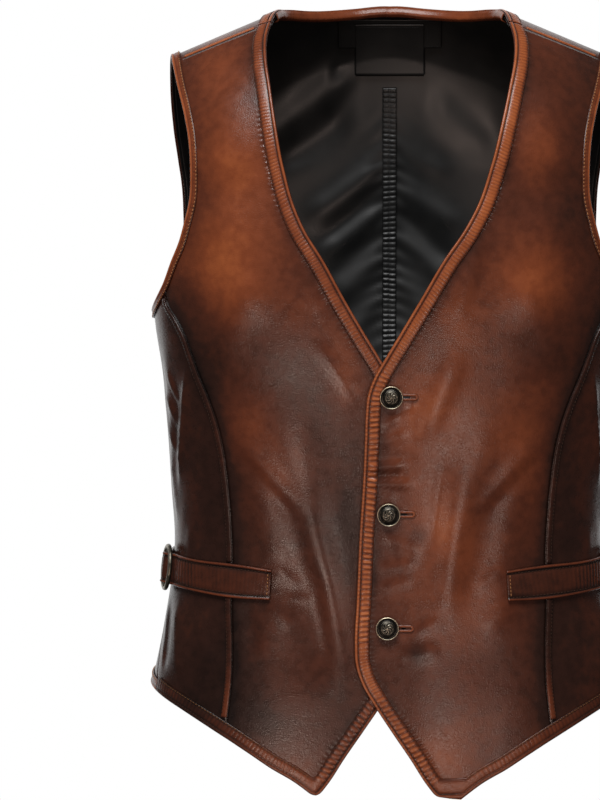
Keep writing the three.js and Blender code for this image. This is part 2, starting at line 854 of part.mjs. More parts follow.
function makeEdges() {
  for (const [name, side] of SIDES) {
    add("edge_strip_" + name, edgeStrip(side), TAN);
    const round = stretch(sided(side, armhole), 0, armhole.length, ARM_COUNT).slice(0, -1);
    const arm = strip(round, { profile: ARM_PROFILE, hand: -side, layer: TRIM, closed: true });
    add("armhole_strip_" + name, arm, TAN);
  }
  const half = stretch(hem, hem.mark("side") + SEAM / 2, hem.length, COUNT.back);
  add("hem_strip_back", strip(carriedOn(half), { profile: HEM_PROFILE, hand: 1, layer: TRIM }), TAN);
  const top = carriedOn(stretch(backNeck, backNeck.length - SEAM_END, 0, NECK_COUNT));
  add("neck_strip_back", strip(top, { profile: EDGE_PROFILE, hand: -1, layer: TRIM }), TAN);
}

// The lapped seams and the piped shoulders
function makeSeams() {
  const above = lengthBefore(princess, ({ climb }) => climb < LAP_SPLIT.above);
  const below = lengthBefore(princess, ({ climb }) => climb < LAP_SPLIT.below);
  const upper = stretch(princess, LAP_START, above, LAP_COUNT.upper);
  const lower = stretch(princess, below, princess.length - LAP_END, LAP_COUNT.lower);
  for (const [name, side] of SIDES) {
    for (const [level, run] of Object.entries({ upper, lower })) {
      const points = run.map((point) => onSide(side, point));
      const lap = strip(points, { profile: LAP_PROFILE, hand: side, layer: TRIM });
      add("seam_lap_" + level + "_" + name, lap, BURNISHED);
    }
    const shoulder = straight(frontEdge(side).at(0), onSide(side, armhole.at(0)), PIPING_COUNT);
    const clear = shoulder.slice(PIPING_CLEAR, -PIPING_CLEAR);
    const pipe = strip(clear, { profile: PIPING_PROFILE, hand: 1, layer: TRIM });
    add("shoulder_piping_" + name, pipe, TAN);
  }
}

// How far the strap rises to pass over the buckle's bar.
function strapHump(away) {
  const foot = BUCKLE.ring - BUCKLE.foot;
  if (Math.abs(away) > foot) return 0;
  const over = BUCKLE.float + BUCKLE.bar + BUCKLE.clear - STRAP_LAYER.low;
  return (over * (1 + Math.cos((Math.PI * away) / foot))) / 2;
}

function makeStraps() {
  const path = line(STRAP);
  const middle = path.mark("buckle");
  const even = (from, to, count) =>
    Array.from({ length: count + 1 }, (_, i) => lerp(from, to, i / count));
  const stations = joined(
    even(0, middle - STRAP_OVER, STRAP_COUNT.front),
    even(middle - STRAP_OVER, middle + STRAP_OVER, STRAP_COUNT.over),
    even(middle + STRAP_OVER, path.length, STRAP_COUNT.back),
  );
  for (const [name, side] of SIDES) {
    const points = stations.map((s) => onSide(side, path.at(s)));
    const band = strip(points, {
      profile: STRAP_PROFILE,
      hand: 1,
      layer: STRAP_LAYER,
      hump: (i) => strapHump(stations[i] - middle),
    });
    add("strap_" + name, band, BURNISHED);
    const holder = seat(onSide(side, path.at(middle)));
    part.add(holder);
    const ring = new THREE.TorusGeometry(BUCKLE.ring, BUCKLE.wire, 6, 24);
    const bar = new THREE.CylinderGeometry(BUCKLE.bar, BUCKLE.bar, 2 * BUCKLE.ring, 10);
    const both = geometryFrom(solidOf(ring).add(solidOf(bar)));
    add("buckle_" + name, both, BRASS, holder).position.z = BUCKLE.float;
  }
}

function makeButtons() {
  const foot = [
    [0, BUTTON_FOOT],
    [SHANK, BUTTON_FOOT],
    [SHANK, BUTTON_SEAT],
  ];
  const dome = BUTTON_PROFILE.map(({ radius, height }) => [radius, height + BUTTON_SEAT]);
  const outline = [...foot, ...dome, [0, BUTTON_SEAT + BUTTON_TOP]];
  const profile = outline.map(([radius, height]) => new THREE.Vector2(radius, height));
  buttonSpots.forEach((spot, i) => {
    const holder = seat(spot, true);
    part.add(holder);
    const round = new THREE.LatheGeometry(profile, 16).rotateX(Math.PI / 2);
    add("button_" + (i + 1), geometryFrom(solidOf(round)), BRASS, holder);
    add("buttonhole_" + (i + 1), lipGeometry(spot), BURNISHED);
  });
}

// A buttonhole's two lips: a flat cord round the slit.
function lipGeometry(spot) {
  const [along] = crossings([spot, { ...spot, climb: spot.climb - 1 }], 1);
  const [up] = crossings([spot, { ...spot, turn: spot.turn + 1 }], 1);
  const section = table("out height", [
    [-1, LIP.low],
    [0, LIP.low],
    [1, LIP.low],
    [1, LIP.side],
    [0, LIP.high],
    [-1, LIP.side],
  ]);
  const ends = [LIP.to, LIP.from].flatMap((middle, end) =>
    Array.from({ length: LIP_STEPS + 1 }, (_, i) => {
      return { middle, angle: Math.PI * (end + i / LIP_STEPS - 0.5) };
    }),
  );
  const rings = ends.map(({ middle, angle }) =>
    section.map(({ out, height }) => {
      const reach = LIP.half + out * LIP.wide;
      const x = middle + reach * Math.cos(angle);
      const y = reach * Math.sin(angle);
      const turn = spot.turn + along.turn * x + up.turn * y;
      const climb = spot.climb + along.climb * x + up.climb * y;
      return place({ turn, climb }, height - LAP_LIFT, true);
    }),
  );
  return tube(rings, [], true);
}

// A rectangle on the lining, by its half width and its two climbs
function inside({ half, low, high }, layer, columns, rows) {
  const at = (x, climb) => ({ turn: turnAt(x, climb, true), climb });
  const points = [];
  const quads = [];
  for (let j = 0; j <= rows; j++) {
    for (let i = 0; i <= columns; i++) {
      points.push(at(lerp(half, -half, i / columns), lerp(low, high, j / rows)));
      const here = j * (columns + 1) + i;
      if (i < columns && j < rows)
        quads.push([here, here + 1, here + columns + 2, here + columns + 1]);
    }
  }
  return wall({ points, quads }, { low: layer.high, high: layer.low });
}

function makeInside() {
  const end = lengthBefore(backNeck, ({ climb }) => climb > NECK_BAND.end);
  const top = carriedOn(stretch(backNeck, end, 0, NECK_BAND.count));
  const flat = (from, to) => table("across rise", [from, to]);
  const tall = flat([NECK_BAND.from, 1], [NECK_BAND.tall, 1]);
  add("neck_band", strip(top, { profile: tall, hand: -1, layer: FACING }), TAN);
  add("locker_patch", inside(PATCH, FACING, 8, 2), SATIN);
  add("label", inside(TAG, LABEL, 6, 3), SATIN);
  const rungs = 2 * Math.round((LADDER.high - LADDER.low) / LADDER.pitch);
  const [high, low] = [LADDER.high, LADDER.low].map((climb) => ({ turn: 180, climb }));
  const seam = strip(straight(high, low, rungs), {
    profile: flat([-LADDER.half, LADDER.thick], [LADDER.half, LADDER.thick]),
    hand: 1,
    layer: FACING,
    raise: (i) => (i % 2 ? LADDER.rise : 0),
  });
  add("ladder_seam", seam, SATIN);
}

makeFronts();
makeSides();
makeBack();
makeEdges();
makeSeams();
makeStraps();
makeButtons();
makeInside();

export default part;
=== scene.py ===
# %% [markdown]
# # A leather vest in its worn form
# The vest is burnished brown leather with a black satin lining. It closes with three buttons,
# and a strap with a slide buckle draws in each side of the waist.
# The CAD frame gives every piece its place and size. This lesson dresses it: each panel gets its
# folds, each binding its ribs and stitches, and each surface its finish.

import bmesh
import bpy
import numpy as np
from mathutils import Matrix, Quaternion, Vector


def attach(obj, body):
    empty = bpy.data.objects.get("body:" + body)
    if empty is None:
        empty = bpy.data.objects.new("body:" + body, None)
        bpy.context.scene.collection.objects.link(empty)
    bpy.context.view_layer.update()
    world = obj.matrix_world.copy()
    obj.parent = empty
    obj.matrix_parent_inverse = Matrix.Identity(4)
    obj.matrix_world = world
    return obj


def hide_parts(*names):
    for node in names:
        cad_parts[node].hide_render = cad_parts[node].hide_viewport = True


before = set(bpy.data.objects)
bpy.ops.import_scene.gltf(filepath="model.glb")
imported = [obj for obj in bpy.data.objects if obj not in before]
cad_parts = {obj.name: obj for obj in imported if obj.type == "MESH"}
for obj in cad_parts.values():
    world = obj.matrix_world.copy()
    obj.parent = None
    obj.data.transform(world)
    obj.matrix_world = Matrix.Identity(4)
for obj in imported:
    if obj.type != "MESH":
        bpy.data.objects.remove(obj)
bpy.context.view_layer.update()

# %% [markdown]
# ## The camera
# The photograph looks straight at the front from a little above, from about two and a half metres.
# A long lens that is turned towards the wearer's right side gives the same crop as the picture.

# %% The camera
FAR = 2.6
RISE = np.radians(4)
AIM = Vector((-0.0779, 0, -0.3395))
camera = bpy.data.objects.new("camera", bpy.data.cameras.new("camera"))
camera.location = (0, -FAR * np.cos(RISE), AIM.z + FAR * np.sin(RISE))
camera.rotation_euler = (AIM - camera.location).to_track_quat("-Z", "Y").to_euler()
camera.data.lens = 133.7
camera.data.sensor_width = 36
bpy.context.collection.objects.link(camera)
bpy.context.scene.camera = camera
print("camera", tuple(round(v, 3) for v in camera.location))

# %% [markdown]
# ## Smooth curves through a few sizes
# A maker drafts a garment from a few measures, joined by smooth curves. A cubic curve through each
# table's rows does the same, and it works on whole arrays at once.


# %% Tables and curves
def table(columns, rows):
    """Rows of numbers with their columns by name, each column as one array."""
    return dict(zip(columns.split(), np.array(rows, float).T))


def curve(x, y):
    """The smooth curve through the points (x, y): a cubic on each step, whose slope at a knot is the
    mean of its two neighbours, weighted by the other one's length."""
    step, rise = np.diff(x), np.diff(y) / np.diff(x)
    inner = (step[:-1] * rise[1:] + step[1:] * rise[:-1]) / (step[:-1] + step[1:])
    slope = np.concatenate([rise[:1], inner, rise[-1:]])

    def at(value):
        value = np.clip(value, x[0], x[-1])
        i = np.clip(np.searchsorted(x, value, side="right") - 1, 0, len(x) - 2)
        long = step[i]
        t = (value - x[i]) / long
        start = (2 * t - 3) * t * t + 1
        leave = ((t - 2) * t + 1) * t * long * slope[i]
        arrive = (t - 1) * t * t * long * slope[i + 1]
        return start * y[i] + leave + (1 - start) * y[i + 1] + arrive

    return at


def ease(t):
    """A soft step from 0 to 1 as t goes from 0 to 1: three t squared less two t cubed."""
    t = np.clip(t, 0, 1)
    return t * t * (3 - 2 * t)


# %% [markdown]
# ## The figure under the cloth
# Every piece lies on one smooth figure, which is no one's body: level sections between a circle and
# a box, whose half width and depths come from a table, closed over the shoulders by a quarter turn.
# A point on it is named by its turn, in degrees from the centre front, and its climb, in millimetres
# of cloth above the line where the shoulder starts to bend.

# %% The figure
YOKE, ARCH = -130, 190
ROUND = 2.56
SLOPE, NECK_HALF, NECK_SOFT, UNDERARM = 0.42, 89, 8, -262
NAPE_RISE, NAPE_WIDTH, NAPE_DEPTH, NAPE_FADE = 35, 85, 80, 60
SECTIONS = table("height half front back", [
    [-700, 216, 120, 106], [-640, 213, 119, 106], [-590, 206, 117, 104], [-540, 196, 113, 98],
    [-470, 186, 109, 93], [-400, 187.5, 112, 98], [-330, 193, 118, 108], [-262, 203, 122, 118],
    [-200, 204, 119, 121], [-130, 202, 110, 118], [-60, 200, 104, 112], [0, 200, 104, 104],
])
half_at, front_at, back_at = (
    curve(SECTIONS["height"], SECTIONS[name]) for name in ("half", "front", "back")
)


def height_at(climb):
    """The level of a climb: straight below the yoke line, and a quarter of a sine above it."""
    bend = np.clip(climb / ARCH, 0, 1) * np.pi / 2
    return np.where(climb < 0, YOKE + climb, YOKE - YOKE * np.sin(bend)), bend


def figure(turn, climb):
    """A point of the figure in millimetres. The level section is a superellipse of power ROUND. The
    depth shrinks by the cosine of the bend, the shoulder falls by SLOPE outside the neck, and the
    nape stands up behind."""
    turn, climb = np.broadcast_arrays(np.asarray(turn, float), np.asarray(climb, float))
    over = climb > ARCH
    turn = np.where(over, 180 - turn, turn)
    climb = np.where(over, 2 * ARCH - climb, climb)
    height, bend = height_at(climb)
    sin, cos = np.sin(np.radians(turn)), np.cos(np.radians(turn))
    deep = np.where(cos > 0, front_at(height), back_at(height))
    reach = (np.abs(sin) / half_at(height)) ** ROUND + (np.abs(cos) / deep) ** ROUND
    radius = reach ** (-1 / ROUND)
    x, y = radius * sin, -radius * cos * np.cos(bend)
    past = np.abs(x) - NECK_HALF
    fall = (past + np.hypot(past, NECK_SOFT)) / 2
    stand = np.exp(-((x / NAPE_WIDTH) ** 2)) * ease(y / NAPE_DEPTH)
    nape = NAPE_RISE * stand * np.clip((height - YOKE) / NAPE_FADE, 0, 1)
    z = height - SLOPE * fall * ease((height - UNDERARM) / -UNDERARM) + nape
    return np.stack([x, y, z], -1)


def turn_at(x, climb, behind=False):
    """The turn at which the front, or the back, has a given distance from the middle."""
    x, climb = np.broadcast_arrays(np.asarray(x, float), np.asarray(climb, float))
    over = climb > ARCH
    rear = over != behind
    height, _ = height_at(np.where(over, 2 * ARCH - climb, climb))
    deep = np.where(rear, back_at(height), front_at(height))
    left = (1 - (np.abs(x) / half_at(height)) ** ROUND) ** (1 / ROUND)
    turn = np.degrees(np.arctan2(x / deep, left))
    turn = np.where(rear, 180 - turn, turn)
    return np.where(over, 180 - turn, turn)


def steps(spots, step=0.05):
    """How the figure moves for one degree of turn and for one millimetre of climb."""
    turn, climb = spots[..., 0], spots[..., 1]
    around = figure(turn + step, climb) - figure(turn - step, climb)
    up = figure(turn, climb + step) - figure(turn, climb - step)
    return around / (2 * step), up / (2 * step)


def unit(vectors):
    """Each vector divided by its length."""
    return vectors / np.linalg.norm(vectors, axis=-1, keepdims=True)


def outward(spots):
    """The figure's outward normal: its step round crossed with its step up."""
    return unit(np.cross(*steps(spots)))


print("waist", figure([0, 90, 180], -340).round(1).tolist())

# %% [markdown]
# ## The cut
# The outlines are the pattern pieces' edges, as a maker would chalk them on the figure: the free
# front edge, the hem, the armhole, the curved princess seam, the side seam and the back neck.

# %% The outlines
LEAN = table("climb x", [
    [-480, -9], [-400, -8.5], [-321, -7], [-250, -5.5], [-90, -5], [-59, -4], [-38, -3], [-6, -2],
    [25, -1], [60, 0], [190, 0],
])
FRONT_EDGE = table("climb reach", [
    [143, -101], [120, -104], [90, -103.5], [59, -99], [25, -93], [-6, -86], [-38, -76.5], [-59, -66.5],
    [-86, -49], [-116, -32], [-143, -16], [-167, -1.5], [-180, 6], [-196, 12], [-214, 14], [-230, 14.5],
    [-268, 15.5], [-321, 17.5], [-373, 18.5], [-407, 19.5], [-424, 18.5], [-441, 13], [-458, 3],
    [-479, -11], [-504, -28], [-523, -40], [-538, -51.5],
])
VEE, WAIST, TIP = 11, 19, 26
HEM = table("turn climb", [
    [27.1, -538], [34.5, -524], [41.2, -513.5], [47.5, -501.5], [53.8, -489.5], [68.4, -466.7],
    [77.3, -459.3], [86, -456.5], [100, -456], [140, -456], [180, -456],
])
HEM_PRINCESS, HEM_SIDE = 4, 6
ARMHOLE = table("turn climb", [
    [74.6, 150], [72.1, 106.7], [69, 63.8], [67.2, 38.6], [66.1, 17.6], [65.5, 1], [65.1, -24],
    [65.7, -43], [66.9, -63.5], [69.2, -81.5], [72.8, -105], [78, -120], [84.5, -128.5], [92, -129],
    [101, -117], [107.5, -90], [110.9, -52], [110.6, -30], [109.5, 0], [107.8, 25], [105.2, 63.7],
    [103.6, 112.6], [103.7, 177], [105.4, 230],
])
ARM_PRINCESS, ARM_SIDE, ARM_YOKE = 10, 12, 19
PRINCESS = table("turn climb", [
    [72.8, -105], [71.6, -122], [68.2, -134.5], [65.3, -150.8], [63.8, -167.2], [62.2, -183.4],
    [60, -203], [58.4, -221], [57.3, -241], [56.6, -271], [56.2, -323], [55.6, -376], [54.2, -410],
    [53.3, -444], [53.8, -489.5],
])
SIDE_SEAM = table("turn climb", [
    [84.5, -128.5], [83.2, -200], [85.2, -270], [89.5, -335], [86.8, -385], [81.5, -430],
    [77.3, -459.3],
])
BACK_NECK = table("x climb", [
    [0, 108], [30, 112], [59, 129], [80, 152], [91, 172], [94.5, 190], [97, 205], [101, 237],
])


class Line:
    """A line drawn on the figure, measured by its length there: at(s) gives its turn and climb."""

    def __init__(self, turn, climb, side=1):
        spots = figure(turn, climb)
        steps_long = np.linalg.norm(np.diff(spots, axis=0), axis=1)
        self.knot = np.concatenate([[0], np.cumsum(steps_long)])
        self.length = self.knot[-1]
        self.turn, self.climb = curve(self.knot, side * turn), curve(self.knot, climb)

    def at(self, s):
        return np.stack([self.turn(s), self.climb(s)], -1)

    def before(self, climb):
        """The length up to which a falling line stays above a climb."""
        s = np.linspace(0, self.length, 4000)
        return s[np.argmax(self.climb(s) < climb)]


lean_at = curve(LEAN["climb"], LEAN["x"])


def front_edge(side):
    """A front's free edge reaches past the leaning centre line by the table's amount."""
    x = lean_at(FRONT_EDGE["climb"]) - side * FRONT_EDGE["reach"]
    return Line(turn_at(x, FRONT_EDGE["climb"]), FRONT_EDGE["climb"])


def hem(side=1):
    return Line(HEM["turn"], HEM["climb"], side)


def armhole(side=1):
    return Line(ARMHOLE["turn"], ARMHOLE["climb"], side)


def princess(side=1):
    return Line(PRINCESS["turn"], PRINCESS["climb"], side)


def back_neck(side=1):
    turn = turn_at(BACK_NECK["x"], BACK_NECK["climb"], True)
    return Line(turn if side > 0 else 360 - turn, BACK_NECK["climb"])


side_seam = Line(SIDE_SEAM["turn"], SIDE_SEAM["climb"])
SIDES = {"right": -1, "left": 1}
lines = {"armhole": armhole(), "half hem": hem(), "princess": princess(), "half neck": back_neck()}
lines["front edge"] = front_edge(-1)
print("lengths in mm", {name: round(line.length) for name, line in lines.items()})

# %% [markdown]
# ## Folds
# Leather on a figure hangs in a few long, soft folds: from the bust to the waist, under the arm, and
# where the strap pulls. Each is placed as a ridge between two points that dies away at its ends. A
# negative rise is a trough, and a keen one is a crease with a sharp top.

# %% Folds
FOLD_DEGREE, FOLD_END = 2.6, 0.3
FOLD_COLUMNS = "turn climb turn_to climb_to width rise keen side"
FOLDS = table(FOLD_COLUMNS, [
    [65, -168, 75.5, -285, 9, 3, 1, 0], [75, -150, 80, -310, 8, 1.8, 0, 0],
    [82, -165, 87, -335, 8, 1.6, 0, 0], [74, -374, 68, -452, 11, 2.6, 0, 0],
    [40, -185, 22, -400, 20, 2.6, 0, 0], [50, -210, 38, -430, 16, 1.8, 0, 0],
    [46, -330, 18, -446, 26, -2.4, 0, -1], [57, -20, 44, -150, 20, 2.2, 0, 0],
    [60, 90, 54, -20, 16, 1.8, 0, 0], [46, -90, 58, -180, 15, 1.6, 0, 0],
    [104, -150, 110, -325, 16, 2.4, 0, 0], [122, -140, 130, -330, 18, 2, 0, 0],
    [106, -374, 105, -436, 16, 2.4, 0, 0], [128, -360, 126, -436, 17, 2.2, 0, 0],
    [148, -240, 152, -430, 20, 2.2, 0, 0], [126, 80, 142, -20, 20, 2, 0, 0],
])
CREASES = table(FOLD_COLUMNS, [
    [65, -165, 75.5, -288, 2.6, 1.5, 1, 0], [69.5, -180, 79, -290, 6, -1.8, 0, 0],
    [76, -178, 70.5, -214, 2.2, 1.1, 0, 0], [79, -196, 72.5, -232, 2.4, 1.2, 0, 0],
    [82, -212, 75, -256, 2.6, 1.1, 0, -1], [80, -250, 78, -318, 3, 1.2, 1, 0],
    [74, -372, 67.5, -455, 3, 1.3, 1, 0], [79, -378, 75, -445, 4, -1.3, 0, 0],
    [82, -374, 76.5, -446, 2.4, 1.2, 1, 0], [55.5, -228, 33, -300, 7, 1.1, 0, 0],
    [54, -242, 35, -310, 7, -0.8, 0, 0], [45, -342, 34, -362, 5, 0.8, 0, 0],
    [46, -374, 36, -396, 6, 0.7, 0, 0], [35, -262, 15, -462, 13, 2.4, 0, -1],
    [52, -372, 47, -420, 6, -1, 0, -1], [40, -368, 30, -372, 3, 0.5, 0, -1],
    [30, -330, 26, -440, 11, -1.1, 0, -1], [34, -60, 24, -140, 7, 1, 0, 0],
    [28, -150, 12, -205, 6, 1.1, 0, -1], [70, -310, 71, -343, 5, 1, 0, 0],
    [64, -380, 62, -440, 6, 1, 0, 0], [-9, -258, 8, -254, 2.6, 1.7, 0, 1],
    [-9, -264.5, 9, -265, 2, -1.5, 0, 1], [-9, -270, 13, -272, 2.8, 1.6, 0, 1],
    [-8, -278, 4, -286, 2.2, 1, 0, 1], [2, -216, 12, -202, 3.5, -1.2, 0, 1],
    [-4, -226, 10, -206, 4, 1.2, 0, 1], [-8, -238, 10, -228, 5, 1, 0, 1],
    [-8, -252, 14, -247, 3, -0.7, 0, 1], [-4, -316, 16, -330, 5, 1.1, 0, 1],
    [-6, -345, 14, -338, 4, 1, 0, 1], [-6, -362, 12, -352, 4, 0.8, 0, 1],
    [8, -400, 24, -386, 3, 1.2, 1, 1], [4, -420, 22, -412, 6, 1.3, 0, 1],
    [27, -155, 13, -240, 11, 1.7, 0, 1], [31, -240, 22, -400, 13, 1.6, 0, 1],
    [22, -245, 19, -330, 7, -0.9, 0, 1], [132, -40, 150, -110, 12, 1.6, 0, 1],
    [116, -10, 128, -90, 9, 1.3, 0, 0], [112, -320, 122, -343, 6, 1.3, 0, 0],
    [110, -366, 124, -388, 7, 1.3, 0, -1], [138, -300, 141, -425, 10, -1.2, 0, 0],
    [165, -350, 170, -440, 12, 1.4, 0, -1], [160, -120, 150, -250, 16, 1.2, 0, -1],
])


def ridges(folds, spots):
    """The sum of all ridges at each spot: rise, times a bell or a sharp peak across the ridge, times
    a soft fade over the first and last share of its length. Side 0 puts it on both halves."""
    around = (spots[..., 0] + 180) % 360 - 180
    total = np.zeros(spots.shape[:-1])
    for turn, climb, turn_to, climb_to, width, rise, keen, side in zip(*folds.values()):
        x = ((np.abs(around) if side == 0 else side * around) - turn) * FOLD_DEGREE
        y = spots[..., 1] - climb
        long = np.array([(turn_to - turn) * FOLD_DEGREE, climb_to - climb])
        length = np.hypot(*long)
        along = (x * long[0] + y * long[1]) / length**2
        aside = np.abs(x * long[1] - y * long[0]) / length / width
        shape = np.exp(-aside) if keen else np.exp(-aside * aside)
        total += rise * shape * ease(along / FOLD_END) * ease((1 - along) / FOLD_END)
    return total


def fold_rise(spots):
    return ridges(FOLDS, spots) + ridges(CREASES, spots)


# %% [markdown]
# ## Layers
# Everything is placed by its height over the figure, as cloth is laid up on a table: the lining
# inside, then the leather, then what is stitched on top. The wearer's left front laps over the
# right one, so its layers are lifted near the middle.

# %% Layers
LEATHER_LOW, LEATHER_HIGH = 0.5, 1.8
LINING_LOW, LINING_HIGH = -2.2, -1.3
TRIM, STRAP_LOW, FACING, LABEL = 2.5, 2.8, -4.2, -5.6
LAP_LIFT, LAP_FULL, LAP_FADE = 3.7, 22, 70
TIP_ROUND, TIP_PULL = 9, 3


def lap_lift(x):
    return LAP_LIFT * (1 - ease((x - LAP_FULL) / LAP_FADE))


tips = [figure(*front_edge(side).at(front_edge(side).length)) for side in SIDES.values()]


def place(spots, out, lapped=False, rise=True):
    """Points at a height over the figure, raised with the leather's folds. Near a front's tip they
    are drawn up a little, which rounds its corner."""
    point = figure(spots[..., 0], spots[..., 1])
    out = out + (fold_rise(spots) if rise else 0) + (lap_lift(point[..., 0]) if lapped else 0)
    point = point + outward(spots) * np.broadcast_to(out, point.shape[:-1])[..., None]
    for tip in tips:
        near = np.hypot(point[..., 0] - tip[0], point[..., 2] - tip[2])
        point[..., 2] += TIP_PULL * np.clip(1 - near / TIP_ROUND, 0, 1) ** 2
    return point


# %% [markdown]
# ## Making a mesh
# A grid of points becomes a mesh of four-sided faces in one call. Its finish can read numbers that
# are kept on the points, such as how tan or dark the leather is there.


# %% Meshes
def grid_faces(rows, columns, closed_rows=False, closed_columns=False):
    """The four-sided faces of a grid of points, wrapped round where it is closed."""
    i = np.arange(rows if closed_rows else rows - 1)[:, None]
    j = np.arange(columns if closed_columns else columns - 1)[None, :]
    here, right = i * columns + j, i * columns + (j + 1) % columns
    below = ((i + 1) % rows) * columns
    return np.stack([here, right, below + (j + 1) % columns, below + j], -1).reshape(-1, 4)


def turned_out(mesh):
    """Makes all faces of a closed mesh look outwards."""
    shape = bmesh.new()
    shape.from_mesh(mesh)
    bmesh.ops.recalc_face_normals(shape, faces=shape.faces)
    shape.to_mesh(mesh)
    shape.free()


def piece(name, corners, faces, finish, numbers=None, closed=False):
    """A new object from corners in millimetres. numbers are kept on its points by name."""
    mesh = bpy.data.meshes.new(name)
    mesh.from_pydata((corners.reshape(-1, 3) / 1000).tolist(), [], faces)
    for key, values in (numbers or {}).items():
        flat = np.broadcast_to(values, corners.shape[:-1]).astype(np.float32).ravel()
        mesh.attributes.new(key, "FLOAT", "POINT").data.foreach_set("value", flat)
    for material in finish if isinstance(finish, list) else [finish]:
        mesh.materials.append(material)
    if closed:
        turned_out(mesh)
    mesh.shade_smooth()
    obj = bpy.data.objects.new(name, mesh)
    bpy.context.collection.objects.link(obj)
    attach(obj, "root")
    return obj


def tube(name, rings, finish, numbers=None, closed=False):
    """Rings of points joined into a tube, closed on itself or with flat ends."""
    rows, columns = rings.shape[:2]
    faces = grid_faces(rows, columns, closed, True).tolist()
    if not closed:
        faces += [list(range(columns)), list(range((rows - 1) * columns, rows * columns))]
    return piece(name, rings, faces, finish, numbers, closed=True)


def applied(obj):
    """The object's live modifiers turned into plain mesh."""
    graph = bpy.context.evaluated_depsgraph_get()
    mesh = bpy.data.meshes.new_from_object(obj.evaluated_get(graph))
    obj.modifiers.clear()
    obj.data = mesh
    return obj


def thickened(obj, thick, **settings):
    """The sheet with a wall of so many millimetres, which grows inwards from its face."""
    wall = obj.modifiers.new("thickness", "SOLIDIFY")
    for key, value in dict(settings, thickness=thick / 1000, offset=-1).items():
        setattr(wall, key, value)
    return applied(obj)


# %% [markdown]
# ## Finishes from nodes
# Every finish is built from the same few steps: noise or cells placed in metres, arithmetic on them,
# a row of colours that follows a number, and bumps laid one over the other.


# %% Node helpers
class Finish:
    """A material that is built up step by step on Object coordinates."""

    def __init__(self, name, **inputs):
        self.material = bpy.data.materials.new(name)
        self.material.use_nodes = True
        self.nodes, self.links = self.material.node_tree.nodes, self.material.node_tree.links
        self.shader, self.normal = self.nodes["Principled BSDF"], None
        self.place = self.nodes.new("ShaderNodeTexCoord").outputs["Object"]
        for key, value in inputs.items():
            self.shader.inputs[key.replace("_", " ")].default_value = value

    def follow(self, key, socket):
        """The shader's named input follows a socket."""
        self.links.new(socket, self.shader.inputs[key])

    def texture(self, kind, scale, **inputs):
        """A noise or cell texture with so many features to a metre."""
        node = self.nodes.new("ShaderNodeTex" + kind)
        self.links.new(self.place, node.inputs["Vector"])
        for key, value in dict(inputs, Scale=scale).items():
            node.inputs[key].default_value = value
        return node

    def noise(self, scale, **inputs):
        return self.texture("Noise", scale, **inputs).outputs["Fac"]

    def maths(self, operation, *values, clamp=False):
        """One step of arithmetic on sockets or numbers."""
        node = self.nodes.new("ShaderNodeMath")
        node.operation, node.use_clamp = operation, clamp
        for socket, value in zip(node.inputs, values):
            if isinstance(value, (int, float)):
                socket.default_value = value
            else:
                self.links.new(value, socket)
        return node.outputs[0]

    def soft_step(self, value, start, end):
        """0 below start, 1 above end, and a smooth step between them."""
        node = self.nodes.new("ShaderNodeMapRange")
        node.interpolation_type = "SMOOTHSTEP"
        node.inputs["From Min"].default_value = start
        node.inputs["From Max"].default_value = end
        self.links.new(value, node.inputs["Value"])
        return node.outputs["Result"]

    def ramp(self, factor, stops):
        """Colours that follow a number, from a table of places and colours."""
        node = self.nodes.new("ShaderNodeValToRGB")
        elements = node.color_ramp.elements
        while len(elements) < len(stops):
            elements.new(0.5)
        for element, (position, colour) in zip(elements, stops):
            element.position = position
            element.color = (*colour, 1)
        self.links.new(factor, node.inputs[0])
        return node.outputs[0]

    def attribute(self, name):
        """A number that is kept on the mesh's points."""
        node = self.nodes.new("ShaderNodeAttribute")
        node.attribute_name = name
        return node.outputs["Fac"]

    def bump(self, height, distance, strength):
        """One more bump, laid over those before it."""
        node = self.nodes.new("ShaderNodeBump")
        node.inputs["Distance"].default_value = distance
        node.inputs["Strength"].default_value = strength
        self.links.new(height, node.inputs["Height"])
        if self.normal is not None:
            self.links.new(self.normal, node.inputs["Normal"])
        self.normal = node.outputs["Normal"]
        self.follow("Normal", self.normal)


# %% [markdown]
# ## Leather
# Hand-burnished leather is dyed dark and rubbed back to tan where it stands proud. One finish does
# all of it: a tone on each point says how far it is rubbed, and cloudy noise breaks it up. The tone
# also carries painted shade along the seams and in the bindings' grooves, and a painted highlight on
# their rolls. Fine pebbled grain, longer wrinkles, pores and the small gathers beside a binding make
# the bump.

# %% The leather's finish
BROWNS = [
    (0.0, (0.009, 0.0045, 0.0035)),
    (0.2, (0.028, 0.0105, 0.007)),
    (0.4, (0.08, 0.021, 0.01)),
    (0.6, (0.17, 0.042, 0.015)),
    (0.8, (0.31, 0.085, 0.026)),
    (1.0, (0.5, 0.165, 0.055)),
]
RIB_PITCH = 4.6


def gathered_edge(new, uneven):
    """Small gathers beside a binding: a sine of the length along it, in a soft window of the
    distance from it. Both come from the points, in millimetres."""
    along, away = new.attribute("along"), new.attribute("away")
    wave = new.maths("SINE", new.maths("MULTIPLY", along, 2 * np.pi / RIB_PITCH))
    outer = new.maths("SUBTRACT", 1.0, new.soft_step(away, 12.5, 18))
    window = new.maths("MULTIPLY", new.soft_step(away, 9, 11.5), outer)
    strength = new.soft_step(uneven, 0.44, 0.66)
    return new.maths("MULTIPLY", wave, new.maths("MULTIPLY", window, strength))


